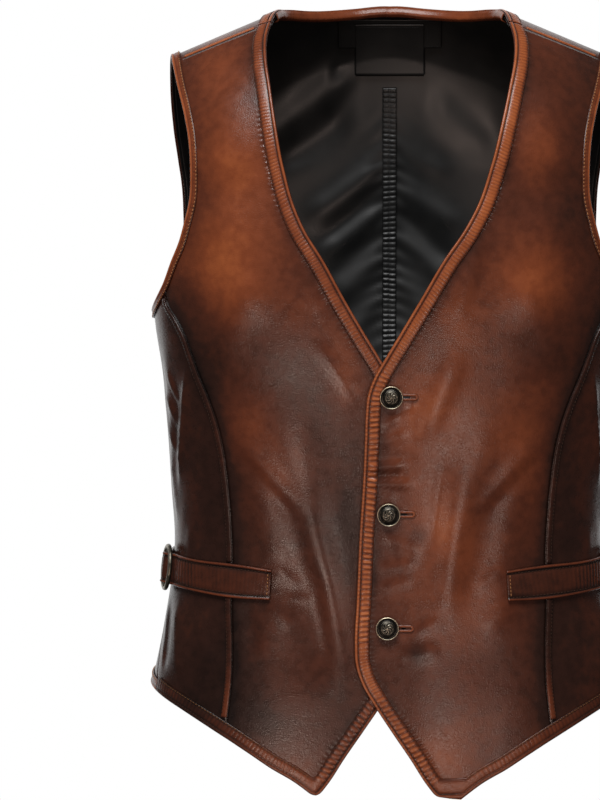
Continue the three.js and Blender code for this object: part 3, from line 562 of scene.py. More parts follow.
def leather_finish(roughness=0.28, grain=0.36):
    new = Finish("leather", Specular_IOR_Level=0.36)
    clouds, flecks = new.noise(17, Detail=4), new.noise(120, Detail=5)
    tone = new.maths("ADD", new.attribute("tone"), new.maths("MULTIPLY_ADD", clouds, 0.34, -0.17))
    tone = new.maths("ADD", tone, new.maths("MULTIPLY_ADD", flecks, 0.22, -0.11), clamp=True)
    new.follow("Base Color", new.ramp(tone, BROWNS))
    new.follow("Roughness", new.maths("MULTIPLY_ADD", flecks, 0.18, roughness - 0.09))
    cells = new.texture("Voronoi", 620)
    cells.feature = "DISTANCE_TO_EDGE"
    pebbles = new.maths("MULTIPLY", cells.outputs["Distance"], 1.6, clamp=True)
    wrinkles = new.noise(190, Detail=6, Distortion=0.6)
    new.bump(new.maths("ADD", pebbles, wrinkles), 0.00022, grain)
    new.bump(new.texture("Voronoi", 950).outputs["Distance"], 0.00012, 0.35)
    new.bump(gathered_edge(new, clouds), 0.0003, 1.0)
    return new.material


leather = leather_finish()
print("leather", len(leather.node_tree.nodes), "nodes")

# %% [markdown]
# ## Satin, thread and metal
# The lining is black satin: nearly black, with broad soft highlights from its fine smooth weave.
# Thread is dull and slightly fuzzy. The buttons and buckles are brass with a dark patina that has
# worn off the high places, so their finish also follows a number on the points.

# %% Satin, thread and metal
BLACKS = [(0.3, (0.0055, 0.0055, 0.0055)), (0.7, (0.011, 0.0105, 0.01))]
PATINA = [
    (0.0, (0.012, 0.011, 0.010)),
    (0.4, (0.10, 0.09, 0.072)),
    (0.75, (0.36, 0.32, 0.24)),
    (1.0, (0.72, 0.62, 0.45)),
]


def satin_finish():
    new = Finish("satin", Specular_IOR_Level=0.45)
    soft = new.noise(30, Detail=3)
    new.follow("Base Color", new.ramp(soft, BLACKS))
    new.follow("Roughness", new.maths("MULTIPLY_ADD", soft, 0.16, 0.34))
    new.bump(new.noise(1500, Detail=2), 0.00008, 0.3)
    return new.material


def thread_finish(name, *colour):
    new = Finish(name, Roughness=0.6, Specular_IOR_Level=0.2)
    fuzz = new.noise(900, Detail=3)
    new.follow("Base Color", new.ramp(fuzz, [(0.3, tuple(v * 0.6 for v in colour)), (0.7, colour)]))
    new.bump(fuzz, 0.0002, 0.5)
    return new.material


def metal_finish():
    new = Finish("antique_metal", Metallic=0.9)
    spots = new.noise(420, Detail=5)
    uneven = new.maths("MULTIPLY_ADD", spots, 0.5, -0.25)
    worn = new.maths("ADD", new.attribute("worn"), uneven, clamp=True)
    new.follow("Base Color", new.ramp(worn, PATINA))
    new.follow("Roughness", new.maths("MULTIPLY_ADD", spots, 0.25, 0.22))
    new.bump(spots, 0.0001, 0.4)
    return new.material


satin = satin_finish()
thread_tan = thread_finish("thread_tan", 0.42, 0.19, 0.075)
thread_brown = thread_finish("thread_brown", 0.2, 0.085, 0.03)
thread_dark = thread_finish("thread_dark", 0.05, 0.022, 0.013)
thread_black = thread_finish("thread_black", 0.02, 0.02, 0.02)
antique = metal_finish()
print("materials", [m.name for m in bpy.data.materials])

# %% [markdown]
# ## Where the leather is rubbed
# The photograph shows tan clouds on the chest and the hem's tips, and dark leather along the seams,
# which is given as painted shade where the seams sink. Each cloud is placed as a soft oval in the
# front or the back view, and the half that the picture crops away gets similar ones in other places.

# %% Tone
FRONT_CLOUDS = table("x z wide tall tone", [
    [-138, -222, 38, 42, 0.42], [-132, -130, 36, 60, 0.3], [-150, -55, 30, 26, 0.2],
    [-150, -20, 70, 20, 0.12], [-96, -180, 40, 60, 0.12], [-60, -260, 30, 36, 0.12],
    [-112, -345, 24, 34, 0.2], [-96, -395, 24, 30, 0.16], [-36, -312, 20, 40, 0.24],
    [-62, -330, 14, 40, -0.04], [-50, -480, 24, 60, 0.04], [-32, -450, 12, 60, -0.12],
    [-84, -540, 40, 50, 0.06], [-110, -600, 22, 16, -0.1], [-80, -650, 44, 26, 0.2],
    [-150, -560, 40, 90, -0.22], [-162, -520, 20, 26, 0.1], [-150, -400, 12, 70, -0.12],
    [-168, -300, 20, 60, -0.1], [-90, -70, 16, 60, -0.04], [45, -450, 60, 200, 0.22],
    [14, -345, 16, 50, 0.14], [40, -335, 24, 30, 0.22], [44, -440, 24, 22, 0.16],
    [60, -270, 20, 40, 0.16], [26, -445, 9, 9, -0.18], [24, -545, 9, 9, -0.18],
    [32, -590, 26, 20, -0.04], [40, -640, 34, 26, 0.24], [92, -520, 40, 50, 0.04],
    [120, -228, 34, 38, 0.36], [124, -120, 22, 44, 0.26], [150, -20, 70, 20, 0.12],
    [112, -370, 30, 50, 0.2], [150, -420, 12, 70, -0.14], [150, -570, 36, 70, -0.1],
    [88, -600, 40, 30, 0.06],
])
BACK_CLOUDS = table("x z wide tall tone", [
    [-70, -150, 60, 60, 0.26], [75, -170, 55, 70, 0.22], [0, -330, 60, 70, 0.12],
    [-95, -430, 40, 60, 0.16], [90, -410, 44, 60, 0.18], [0, -480, 40, 60, -0.1],
    [-60, -560, 60, 26, 0.14], [70, -565, 56, 24, 0.16], [-120, -260, 30, 60, -0.1],
    [120, -270, 30, 60, -0.1], [-100, -60, 40, 30, 0.12], [100, -64, 40, 30, 0.14],
])


def tone_at(points, base=0.27):
    """The leather's tone at points in millimetres: a base, plus every cloud as a bell in x and z."""
    total = np.full(points.shape[:-1], float(base))
    front = ease((30 - points[..., 1]) / 60)
    for clouds, share in ((FRONT_CLOUDS, front), (BACK_CLOUDS, 1 - front)):
        for x, z, wide, tall, tone in zip(*clouds.values()):
            across = ((points[..., 0] - x) / wide) ** 2 + ((points[..., 2] - z) / tall) ** 2
            total += share * tone * np.exp(-across)
    return total


NOWHERE_NEAR = 99


def nearest(points, line_points):
    """For each point, the distance to the nearest of a line's points and that point's number."""
    best = np.full(points.shape[:-1], np.inf)
    which = np.zeros(points.shape[:-1], int)
    for start in range(0, len(line_points), 64):
        some = line_points[start : start + 64]
        apart = np.linalg.norm(points[..., None, :] - some, axis=-1)
        near = apart.min(-1)
        which = np.where(near < best, start + apart.argmin(-1), which)
        best = np.minimum(best, near)
    return best, which


# %% [markdown]
# ## The panels
# Each panel is one cut of leather. Its net is blended from its four edges, as a draper fills in a
# pattern piece between its seams.


# %% Nets
FINE = 9
SEAM = 0.3


def stretch(path, start, end, count):
    """Equal steps along a line between two of its lengths."""
    return path.at(np.linspace(start, end, count + 1))


def joined(first, second):
    return np.concatenate([first, second[1:]])


def straight(start, end, count):
    return start + (end - start) * np.linspace(0, 1, count + 1)[:, None]


def patch(bottom, top, near, far):
    """A net between four rows of points: at each inner point, the blend of the two sides plus the
    blend of bottom and top, less the blend of the four corners."""
    u = np.linspace(0, 1, len(bottom))[None, :, None]
    v = np.linspace(0, 1, len(near))[:, None, None]
    sides = near[:, None] * (1 - u) + far[:, None] * u + bottom[None] * (1 - v) + top[None] * v
    low = bottom[0] * (1 - u) + bottom[-1] * u
    high = top[0] * (1 - u) + top[-1] * u
    return sides - low * (1 - v) - high * v


def drawn_in(net, edges="bottom top near far", by=SEAM / 2):
    """The net with its named edges moved inwards by half a seam, so that panels stay apart."""
    net = net.copy()
    for name, row, inner in (
        ("bottom", np.s_[0], np.s_[1]),
        ("top", np.s_[-1], np.s_[-2]),
        ("near", np.s_[:, 0], np.s_[:, 1]),
        ("far", np.s_[:, -1], np.s_[:, -2]),
    ):
        if name in edges.split():
            away = figure(*np.moveaxis(net[row], -1, 0)) - figure(*np.moveaxis(net[inner], -1, 0))
            share = by / np.linalg.norm(away, axis=-1, keepdims=True)
            net[row] = net[row] + (net[inner] - net[row]) * share
    return net


def front_net(side):
    edge, arm, seam, low = front_edge(side), armhole(side), princess(side), hem(side)
    vee, tip = edge.knot[VEE], edge.knot[TIP]
    near = joined(stretch(edge, tip, vee, 12 * FINE), stretch(edge, vee, 0, 9 * FINE))
    up = stretch(arm, arm.knot[ARM_PRINCESS], 0, 9 * FINE)
    far = joined(stretch(seam, seam.length, 0, 12 * FINE), up)
    bottom = stretch(low, 0, low.knot[HEM_PRINCESS], 8 * FINE)
    bottom[0] = near[0]
    return patch(bottom, straight(near[-1], far[-1], 8 * FINE), near, far)


def side_net(side):
    low, arm, seam = hem(), armhole(), princess()
    count = 4 * FINE
    net = patch(
        stretch(low, low.knot[HEM_PRINCESS], low.knot[HEM_SIDE], count),
        stretch(arm, arm.knot[ARM_PRINCESS], arm.knot[ARM_SIDE], count),
        stretch(seam, seam.length, 0, 12 * FINE),
        stretch(side_seam, side_seam.length, 0, 12 * FINE),
    )
    return net * [side, 1]


BLADE = -195


def back_nets(columns=7 * FINE, lower=12 * FINE, arm_rows=9 * FINE, yoke=6 * FINE):
    """Half the back: the body below a line from armhole to neck, and the shoulder above it."""
    low, arm, neck = hem(), armhole(), back_neck()
    middle, turn_point = neck.at(0), arm.knot[ARM_YOKE]
    waist = np.array([middle[0], BLADE])
    cut = straight(arm.at(turn_point), middle, columns)
    near = joined(
        stretch(side_seam, side_seam.length, 0, lower),
        stretch(arm, arm.knot[ARM_SIDE], turn_point, arm_rows),
    )
    far = joined(straight(low.at(low.length), waist, lower), straight(waist, middle, arm_rows))
    body = patch(stretch(low, low.knot[HEM_SIDE], low.length, columns), cut, near, far)
    outer = stretch(arm, turn_point, arm.length, yoke)
    inner = stretch(neck, 0, neck.length, yoke)
    shoulder = patch(cut, straight(outer[-1], inner[-1], columns), outer, inner)
    return body, shoulder


# %% [markdown]
# ## Cutting the panels
# The nets of one cut are sewn where their points agree, then raised by the folds. A Solidify modifier
# gives the leather its thickness, and its inner face gets the satin that backs every panel. The flat
# cut is measured without the folds, as the pattern is before it is worn.


# %% Panels
def welded(nets):
    """Several nets as one list of spots and faces, sewn where their spots agree."""
    spots = np.concatenate([net.reshape(-1, 2) for net in nets])
    faces, start = [], 0
    for net in nets:
        faces.append(grid_faces(*net.shape[:2]) + start)
        start += net.shape[0] * net.shape[1]
    _, first, same = np.unique(spots.round(4), axis=0, return_index=True, return_inverse=True)
    return spots[first], same.ravel()[np.concatenate(faces)]


def facing_out(corners, faces, spots):
    """The faces, turned round where their normal points into the figure."""
    a, b, c = (corners[faces[:, k]] for k in range(3))
    inwards = (np.cross(b - a, c - a) * outward(spots[faces[:, 0]])).sum(-1) < 0
    faces[inwards] = faces[inwards][:, ::-1]
    return faces


def edge_marks(points, side):
    """Painted shade close to the princess seams, where the seams sink, a little darkening just outside
    the front's binding, and how far each point lies along the front's binding and away from it."""
    tone = np.zeros(points.shape[:-1])
    along, away = tone.copy(), tone + NOWHERE_NEAR
    for each in SIDES.values():
        seam = princess(each)
        near, _ = nearest(points, place(stretch(seam, 0, seam.length, 200), LEATHER_HIGH))
        # Painted shade along each princess seam, where the seam sinks.
        tone -= 0.16 * np.exp(-((near / 8) ** 2))
    if side:
        edge = front_edge(side)
        s = np.linspace(0, edge.length, 900)
        away, which = nearest(points, place(edge.at(s), LEATHER_HIGH, side > 0))
        along = s[which]
        # A little darker just outside the front's binding.
        tone -= 0.1 * np.exp(-(((away - 12) / 5) ** 2))
    return {"tone": tone, "along": along, "away": away}


def cut_size(spots, faces, corners):
    """The flat cut of a panel: its width along the figure, its height as climb, and its area."""
    share = np.linspace(0, 1, 40)[:, None]
    ribs = figure(spots[:, 0] * share, spots[:, 1] + 0 * share)
    wide = np.linalg.norm(np.diff(ribs, axis=0), axis=-1).sum(0) * np.sign(spots[:, 0])
    quads = corners[faces]
    low, slant, high = (quads[:, k] - quads[:, 0] for k in (1, 2, 3))
    halves = [np.cross(low, slant), np.cross(slant, high)]
    area = np.linalg.norm(halves, axis=-1).sum() / 2
    return (np.ptp(wide) / 1000, np.ptp(spots[:, 1]) / 1000), area / 1e6


def panel(name, nets, side=0):
    """A panel of leather with its thickness and its satin back. A front is told by its side."""
    lapped = side > 0
    spots, faces = welded(nets)
    corners = place(spots, LEATHER_HIGH, lapped)
    faces = facing_out(corners, faces, spots)
    cut_size(spots, faces, place(spots, LEATHER_HIGH, lapped, rise=False))
    numbers = edge_marks(corners, side)
    numbers["tone"] += tone_at(corners)
    obj = piece(name + "_leather", corners, faces.tolist(), [leather, satin], numbers)
    thickened(obj, LEATHER_HIGH - LEATHER_LOW, material_offset=1, use_even_offset=True)
    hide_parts(name)
    return obj


def mirrored(net):
    """The same net on the other half of the back."""
    flipped = net[:, ::-1].copy()
    flipped[..., 0] = 360 - flipped[..., 0]
    return flipped


panels = {}
for hand, side in SIDES.items():
    panels["front_" + hand] = panel("front_" + hand, [drawn_in(front_net(side))], side)
    panels["side_" + hand] = panel("side_" + hand, [drawn_in(side_net(side))])
body, shoulder = back_nets()
body = drawn_in(body, "bottom near")
shoulder = drawn_in(shoulder, "top near far")
shoulder[0] = body[-1]
panels["back"] = panel("back", [body, shoulder, mirrored(body), mirrored(shoulder)])

# %% [markdown]
# ## The lining
# Satin is cut a little larger than the leather, so it falls in soft diagonal folds, and the ladder
# seam down its middle gathers it into short puckers on both sides. They rise inwards here.

# %% The lining
LINING_FOLDS = table(FOLD_COLUMNS, [
    [168, 62, 128, 20, 15, 4.6, 0, -1], [166, 34, 132, -6, 11, -2.6, 0, -1],
    [180, 4, 143, -60, 12, 3.6, 0, -1], [180, -20, 148, -80, 9, -1.7, 0, -1],
    [180, -38, 149, -92, 9, 2, 0, -1], [180, -56, 152, -112, 9, -1.3, 0, -1],
    [180, -78, 156, -130, 9, 1.6, 0, -1], [180, -112, 160, -166, 9, 1.4, 0, -1],
    [164, 40, 136, 2, 13, 2, 0, 1], [180, -18, 147, -66, 11, 2.1, 0, 1],
    [180, -38, 150, -98, 9, -1.7, 0, 1], [180, -56, 152, -118, 8, 1.6, 0, 1],
    [180, 14, 152, -14, 10, 1.3, 0, 1], [180, -96, 158, -154, 10, 1.4, 0, 1],
    [132, 60, 128, -60, 14, 2.2, 0, 0], [150, -120, 140, -250, 18, 2.4, 0, 0],
    [168, -210, 160, -400, 18, 2.2, 0, 0], [128, -150, 124, -380, 16, 2.2, 0, 0],
])


PUCKER, SEAM_HALF = 13.5, 6


def gathered(spots):
    """Short uneven puckers that run out and down from the ladder seam, and fade after a finger's
    width: a cosine of the height and of the distance aside."""
    around = (spots[..., 0] + 360) % 360 - 180
    aside, climb = np.abs(around) * 2, spots[..., 1]
    wander = 1.6 * np.sin(climb / 19) + np.sign(around)
    wave = np.cos(2 * np.pi * (climb + 0.55 * aside) / PUCKER + wander)
    beside = np.exp(-np.clip(aside - SEAM_HALF, 0, None) / 8) * ease((aside - SEAM_HALF / 2) / 3)
    return 0.5 * wave * beside * ease((34 - climb) / 12) * ease((climb + 200) / 30)


def make_lining(name="lining_back", inset=1.2):
    body, shoulder = back_nets(7 * FINE, 9 * FINE, 12 * FINE, 5 * FINE)
    body = drawn_in(body, "bottom near", inset)
    shoulder = drawn_in(shoulder, "top near far", inset)
    shoulder[0] = body[-1]
    spots, faces = welded([body, shoulder, mirrored(body), mirrored(shoulder)])
    flat = place(spots, LINING_HIGH, rise=False)
    under_label = ease((spots[:, 1] - 44) / 16) * ease((60 - np.abs(figure(*spots.T)[:, 0])) / 14)
    folds = (ridges(LINING_FOLDS, spots) + gathered(spots)) * (1 - under_label)
    corners = place(spots, LINING_HIGH - folds, rise=False)
    faces = facing_out(corners, faces, spots)
    cut_size(spots, faces, flat)
    obj = piece(name + "_satin", corners, faces.tolist(), satin)
    thickened(obj, LINING_HIGH - LINING_LOW)
    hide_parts(name)
    return obj


panels["lining_back"] = make_lining()

# %% [markdown]
# ## Strips carried along an edge
# A binding is a narrow strip folded round a cord and stitched down twice. Its cross section, with the
# round roll, the groove under the stitches and the flat band, is carried along the edge's line.
# Close gathers are added along the length. At a corner the far points lag behind, as in a mitre.


# %% Strips
def across(path, s, a, hand, step=0.4):
    """Spots that lie a millimetres across a path at lengths s: the path's tangent crossed with the
    figure's normal, turned into degrees of turn and millimetres of climb."""
    spots = path.at(s)
    s_low, s_high = np.clip(s - step, 0, path.length), np.clip(s + step, 0, path.length)
    low, high = path.at(s_low), path.at(s_high)
    tangent = figure(high[..., 0], high[..., 1]) - figure(low[..., 0], low[..., 1])
    way = hand * unit(np.cross(outward(spots), tangent))
    around, up = steps(spots)
    rr, ru, uu = ((p * q).sum(-1) for p, q in ((around, around), (around, up), (up, up)))
    wr, wu = (way * around).sum(-1), (way * up).sum(-1)
    split = rr * uu - ru * ru
    ways = np.stack([(wr * uu - wu * ru) / split, (wu * rr - wr * ru) / split], -1)
    return spots + ways * np.asarray(a)[..., None]


def gathers(s, a, start, end, pitch=RIB_PITCH, seed=0.0):
    """Uneven ribs along a strip, from -1 in a groove to 0.6 on a crest: the size of a sine, whose
    step, height and slant wander, inside a soft window across the strip."""
    wander = 0.5 * np.sin(s / 17.3 + seed) + 0.3 * np.sin(s / 7.1 + 2 * seed)
    slant = 0.14 * a * np.sin(s / 29 + seed)
    uneven = 0.72 + 0.28 * np.sin(s / 11.9 + 3 * seed) * np.sin(s / 5.3 + seed)
    window = ease((a - start) / 1.5) * ease((end - a) / 1.5)
    crest = np.abs(np.sin(np.pi * (s + wander + slant) / pitch))
    return window * uneven * (1.75 * crest - 1)


RIB_RISE = 0.48
# In each band the tone column is lighter on the raised roll and band, partly rubbed tan and partly a
# painted highlight, and darker in the groove under the stitches and at the low edges, as painted shade.
EDGE = table("across height tone", [
    [0.4, 0, 0.3], [-0.1, 0.4, 0.5], [0.1, 0.95, 0.62], [0.7, 1.35, 0.76], [1.4, 1.4, 0.74],
    [2.1, 1.15, 0.6], [2.7, 0.65, 0.3], [3.1, 0.65, 0.34], [3.8, 1, 0.6], [5.2, 1.2, 0.68],
    [6.8, 1.25, 0.68], [8.2, 1.25, 0.67], [9.6, 1.15, 0.64], [10.7, 0.9, 0.5], [11.3, 0.75, 0.44],
    [11.9, 0.65, 0.5], [12.2, 0.2, 0.4], [12, 0, 0.3],
])
HEM_EDGE = table("across height tone", [
    [0.4, 0, 0.2], [-0.1, 0.4, 0.3], [0.2, 0.85, 0.42], [0.9, 1.15, 0.52], [1.8, 1.15, 0.54],
    [2.6, 0.95, 0.5], [3.2, 0.8, 0.4], [3.7, 0.85, 0.44], [4.3, 1, 0.52], [5.4, 1.05, 0.56],
    [6.8, 1.1, 0.57], [8.2, 1.1, 0.57], [9.6, 1.05, 0.55], [10.6, 0.8, 0.42], [11.3, 0.7, 0.4],
    [11.9, 0.65, 0.46], [12.2, 0.2, 0.34], [12, 0, 0.3],
])
HEM_BAND = table("across height tone", [
    [0.4, 0, 0.3], [0, 0.35, 0.5], [0.3, 0.9, 0.66], [1, 1.25, 0.74], [1.9, 1.15, 0.66],
    [2.6, 0.6, 0.3], [3.2, 0.55, 0.3], [3.9, 0.85, 0.5], [5.5, 0.95, 0.55], [7.2, 0.9, 0.52],
    [8.3, 0.7, 0.4], [9, 0.35, 0.36], [9, 0, 0.3],
])
ARM_BAND = table("across height tone", [
    [0.4, 0, 0.3], [0, 0.4, 0.5], [0.4, 1, 0.7], [1.2, 1.35, 0.78], [2.1, 1.2, 0.7], [2.9, 0.8, 0.44],
    [4.2, 0.95, 0.55], [5.8, 0.9, 0.5], [6.8, 0.7, 0.34], [7.5, 0.35, 0.3], [7.5, 0, 0.3],
])
LAP_BAND = table("across height tone", [
    [0.4, 0, 0.05], [0.2, 0.5, 0.1], [0.5, 1.05, 0.2], [1.3, 1.25, 0.22], [2.6, 1.15, 0.2],
    [3.9, 0.95, 0.18], [4.6, 0.7, 0.14], [5.2, 0.55, 0.24], [5.6, 0.2, 0.2], [5.4, 0, 0.2],
])
PIPING = table("across height tone", [
    [-1.3, 0, 0.5], [-1.6, 0.6, 0.6], [-1.1, 1.2, 0.72], [-0.4, 1.55, 0.8], [0.4, 1.55, 0.8],
    [1.1, 1.2, 0.72], [1.6, 0.6, 0.6], [1.3, 0, 0.5],
])
# The strap's grooves inside its rails are painted near black as painted shade, and the tops of the rails
# lighter as a painted highlight.
STRAP_BAND = table("across height tone", [
    [-13.2, 0, 0.1], [-13.7, 0.8, 0.3], [-13.4, 1.9, 0.36], [-12.7, 2.4, 0.52], [-11.9, 2.3, 0.42],
    [-11, 1.4, 0.05], [-10.2, 1.1, 0.02], [-9.3, 1.6, 0.24], [-6, 1.9, 0.3], [0, 2, 0.3],
    [6, 1.9, 0.32], [9.3, 1.6, 0.3], [10.2, 1.1, 0.02], [11, 1.4, 0.05], [11.9, 2.3, 0.46],
    [12.7, 2.4, 0.54], [13.4, 1.9, 0.36], [13.7, 0.8, 0.3], [13.2, 0, 0.1],
])


def strip_rings(
    path, s, band, hand, low, lapped=False, ribs=None, mitre=None, float_up=None, sign=1, swell=None
):
    """The rings of a strip and their tone: for each length s and each row of its band, a point
    across the path at the band's height. A mitre gives the corner's length along the path, the lag
    there for each millimetre across, and how far the lag reaches."""
    s, a = np.broadcast_arrays(s[:, None], band["across"][None])
    a = a * swell(s) if swell else a
    if mitre is not None:
        corner, lag, reach = mitre
        s = s - np.sign(corner - s) * lag * np.clip(a, 0, None) * ease(1 - np.abs(corner - s) / reach)
    extra = ribs(s, a) if ribs else 0 * a
    height = band["height"][None] + RIB_RISE * extra * (band["height"][None] > 0.3)
    lift = float_up(s) if float_up else 0
    rings = place(across(path, s, a, hand), low + sign * height + lift, lapped, rise=sign > 0)
    # The ribs' tone follows their height: crests painted lighter and grooves darker, as painted light
    # and shade.
    return rings, band["tone"][None] + 0.3 * extra


def plain(tone):
    """What the leather's finish reads on a piece that has no binding near it."""
    return {"tone": tone, "along": 0 * tone, "away": 0 * tone + NOWHERE_NEAR}


def strip(node, kind, rings, tone, slot="leather_tan", closed=False):
    """A strip of leather as a closed tube, standing for its CAD node."""
    soft = 0.12 * (tone_at(rings) - 0.3)
    obj = tube(f"{node}_{kind}", rings, leather, plain(tone + soft), closed)
    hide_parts(node)
    print(obj.name, len(obj.data.polygons), "faces")


# %% [markdown]
# ## Stitches
# A machine stitch is a short thread that dips into the leather at both ends. Each row is one mesh of
# little bent capsules. They are worked out together from the two end points of every stitch.


# %% Stitches
ARCH_RISE = 0.25


def stitches(
    name, path, s_from, s_to, a, hand, out, finish, pitch=3.1, long=2.3, thick=0.34,
    lapped=False, sign=1, lift=None, slot="leather_tan",
):
    """A row of stitches along a path, a millimetres across it. Each is five rings of six points
    round a low arch between its two ends."""
    starts = np.arange(s_from, s_to - long, pitch)
    t = np.linspace(0, 1, 5)
    s = starts[:, None] + long * t
    spots = across(path, s, np.full(s.shape, float(a)), hand)
    high = out + sign * ARCH_RISE * np.sin(np.pi * t) + (lift(s) if lift else 0)
    middle = place(spots, high, lapped, rise=sign > 0)
    up = outward(spots)
    along = unit(np.gradient(middle, axis=1))
    aside = unit(np.cross(up, along))
    radius = thick * np.array([0.45, 0.92, 1, 0.92, 0.45])
    angle = np.arange(6) * np.pi / 3
    ring = np.cos(angle)[:, None] * aside[:, :, None] + np.sin(angle)[:, None] * up[:, :, None]
    corners = middle[:, :, None] + radius[:, None, None] * ring
    first = 30 * np.arange(len(starts))[:, None, None]
    sides = (grid_faces(5, 6, False, True) + first).reshape(-1, 4).tolist()
    caps = (np.array([range(6), range(29, 23, -1)]) + first).reshape(-1, 6).tolist()
    return piece("stitches_" + name, corners, sides + caps, finish, closed=True)


# %% [markdown]
# ## The front bindings
# From the shoulder down the neckline, over the placket, round the tip and along the hem to the side:
# one gathered strip on each front. The left one's placket and both cutaways are ribbed.

# %% Front bindings
LAG = 1.13
stitch_rows = {name: [] for name in panels}


def front_binding(hand, side):
    edge, low = front_edge(side), hem(side)
    vee, waist, tip = edge.knot[VEE], edge.knot[WAIST], edge.knot[TIP]
    lapped = side > 0
    end = low.knot[HEM_SIDE] - SEAM / 2

    def front_ribs(s, a):
        placket = ease((s - vee - 4) / 10) * ease((waist + 6 - s) / 10) if side > 0 else 0
        cutaway = ease((s - tip + 106) / 10) * ease((tip - 10 - s) / 6)
        coarse = np.clip(placket + 0.8 * cutaway, 0, 1)
        fine = 0.45 * (1 - coarse) * ease((tip - 10 - s) / 6)
        roll = 0.5 * coarse * gathers(s, a, -1, 3.1, 3.4, side + 1)
        band = coarse * gathers(s, a, 2.6, 12.4, seed=side)
        return roll + band + fine * gathers(s, a, 3.4, 12, 2.9, side)

    def hem_ribs(s, a):
        return 0.3 * gathers(s, a, 3.4, 12, 3.7, 2 * side)

    down = np.unique(np.concatenate([np.arange(1.3, tip, 0.65), [tip]]))
    first, first_tone = strip_rings(
        edge, down, EDGE, side, TRIM, lapped, front_ribs, (tip + 1e-6, LAG, 45)
    )
    on = np.concatenate([np.arange(0, 130, 0.8), np.linspace(130, end, 90)])
    second, second_tone = strip_rings(
        low, on, HEM_EDGE, side, TRIM, lapped, hem_ribs, (-1e-6, LAG, 45)
    )
    # Painted light and shade: the right front's binding is painted darker, as painted shade, and the
    # left one a little lighter, fading out over the last 30 mm before the tip.
    shade = 0.02 if side > 0 else -0.1
    first_tone += shade * (1 - ease((down[:, None] - tip + 30) / 30))
    first_tone -= 0.11 * ease((down[:, None] - tip + 106) / 20)
    dull = ease((on[:, None] - 10) / 150)
    second_tone += (0.9 * (tone_at(second) - 0.3) - 0.2) * dull
    corner = (first[-1:] + second[:1]) / 2
    rings = np.concatenate([first[:-1], corner, second[1:]])
    tone = np.concatenate([first_tone, second_tone[1:]])
    strip("edge_strip_" + hand, "binding", rings, tone)
    for kind, path, start, stop, a, high, thread, thick in (
        ("roll", edge, 4, tip - 6, 2.9, 0.62, thread_dark, 0.24),
        ("edge", edge, 4, tip - 15, 11.2, 0.8, thread_dark, 0.28),
        ("hemroll", low, 6, end - 2, 2.9, 0.62, thread_dark, 0.24),
        ("hem", low, 16, end - 2, 11.2, 0.85, thread_brown, 0.26),
    ):
        row = stitches(
            f"{kind}_{hand}", path, start, stop, a, side, TRIM + high, thread, thick=thick, lapped=lapped
        )
        stitch_rows["front_" + hand].append(row)


for hand, side in SIDES.items():
    front_binding(hand, side)

# %% [markdown]
# ## The other bindings
# The armholes have a narrower rolled strip with one light row of stitches. The back's hem and neck
# are bound in the same way, and there the strip runs through the middle of the back.


# %% Armholes, back hem and back neck
class Whole:
    """Half a line of the back, carried on past the middle and down the other side, at turns past
    180. A turned one starts at the half line's end."""

    def __init__(self, half, turned=False):
        self.half, self.turned, self.length = half, turned, 2 * half.length

    def at(self, s):
        near = np.clip(np.minimum(s, self.length - s), 0, self.half.length)
        spots = self.half.at(self.half.length - near if self.turned else near)
        spots[..., 0] = np.where(s > self.half.length, 360 - spots[..., 0], spots[..., 0])
        return spots


def edging(node, path, s, band, hand, ribs, closed=False):
    """A bound edge of the back, carried along a path."""
    rings, tone = strip_rings(path, s, band, hand, TRIM, ribs=ribs)
    strip(node, "binding", rings, tone, closed=closed)


def back_row(name, path, margin, a, hand, high, thread):
    """A row of stitches on such an edge, which stops a margin short of both ends."""
    ends = margin, path.length - margin
    stitch_rows["back"].append(stitches(name, path, *ends, a, hand, TRIM + high, thread))


for hand, side in SIDES.items():
    hole = armhole(side)
    s = np.linspace(0, hole.length, 420)[:-1]
    ribs = lambda s, a: 0.5 * gathers(s, a, 3, 8, 3.2, side)
    edging("armhole_strip_" + hand, hole, s, ARM_BAND, -side, ribs, closed=True)
    back_row("armhole_" + hand, hole, 2, 6.6, -side, 0.92, thread_tan)

around = Whole(hem())
start = hem().knot[HEM_SIDE] + SEAM / 2
s = np.linspace(start, around.length - start, 340)
edging("hem_strip_back", around, s, HEM_BAND, 1, lambda s, a: 0.4 * gathers(s, a, 3, 9, 4.1, 0.4))
back_row("hem_back", around, start + 2, 8.1, 1, 0.95, thread_tan)

top = Whole(back_neck(), turned=True)
s = np.linspace(1.3, top.length - 1.3, 420)
edging("neck_strip_back", top, s, EDGE, -1, lambda s, a: 0.5 * gathers(s, a, 3.4, 12.4, 3.1, 1.3))
back_row("neck_roll", top, 4, 3.45, -1, 0.85, thread_dark)
back_row("neck_band", top, 4, 11.2, -1, 0.85, thread_dark)

# %% [markdown]
# ## Seams
# The princess seam is lapped: the side panel's edge is folded under, laid on the front and stitched
# down along its fold. The shoulder seam has a piping between its two edges.

# %% Lapped seams and piping
LAP_START, LAP_END, LAP_ABOVE, LAP_BELOW = 12, 17, -341, -371
PIPING_KNOT = 2


def seam_lap(where, hand, side, start, end):
    """One stretch of the side panel's folded edge on the princess seam, with its stitches."""
    seam = princess(side)
    s = np.linspace(start, end, int((end - start) / 1.5))
    ribs = lambda s, a: 0.25 * gathers(s, a, 1.5, 6, 3.6, side)
    rings, tone = strip_rings(seam, s, LAP_BAND, side, TRIM, ribs=ribs)
    if where == "lower":
        tone += 0.28 * ease((s[:, None] - end + 60) / 50)
    strip(f"seam_lap_{where}_{hand}", "fold", rings, tone, "leather_brown")
    name, high = f"lap_{where}_{hand}", TRIM + 0.8
    row = stitches(name, seam, start + 1, end - 1, 4.7, side, high, thread_dark, thick=0.26)
    stitch_rows["side_" + hand].append(row)


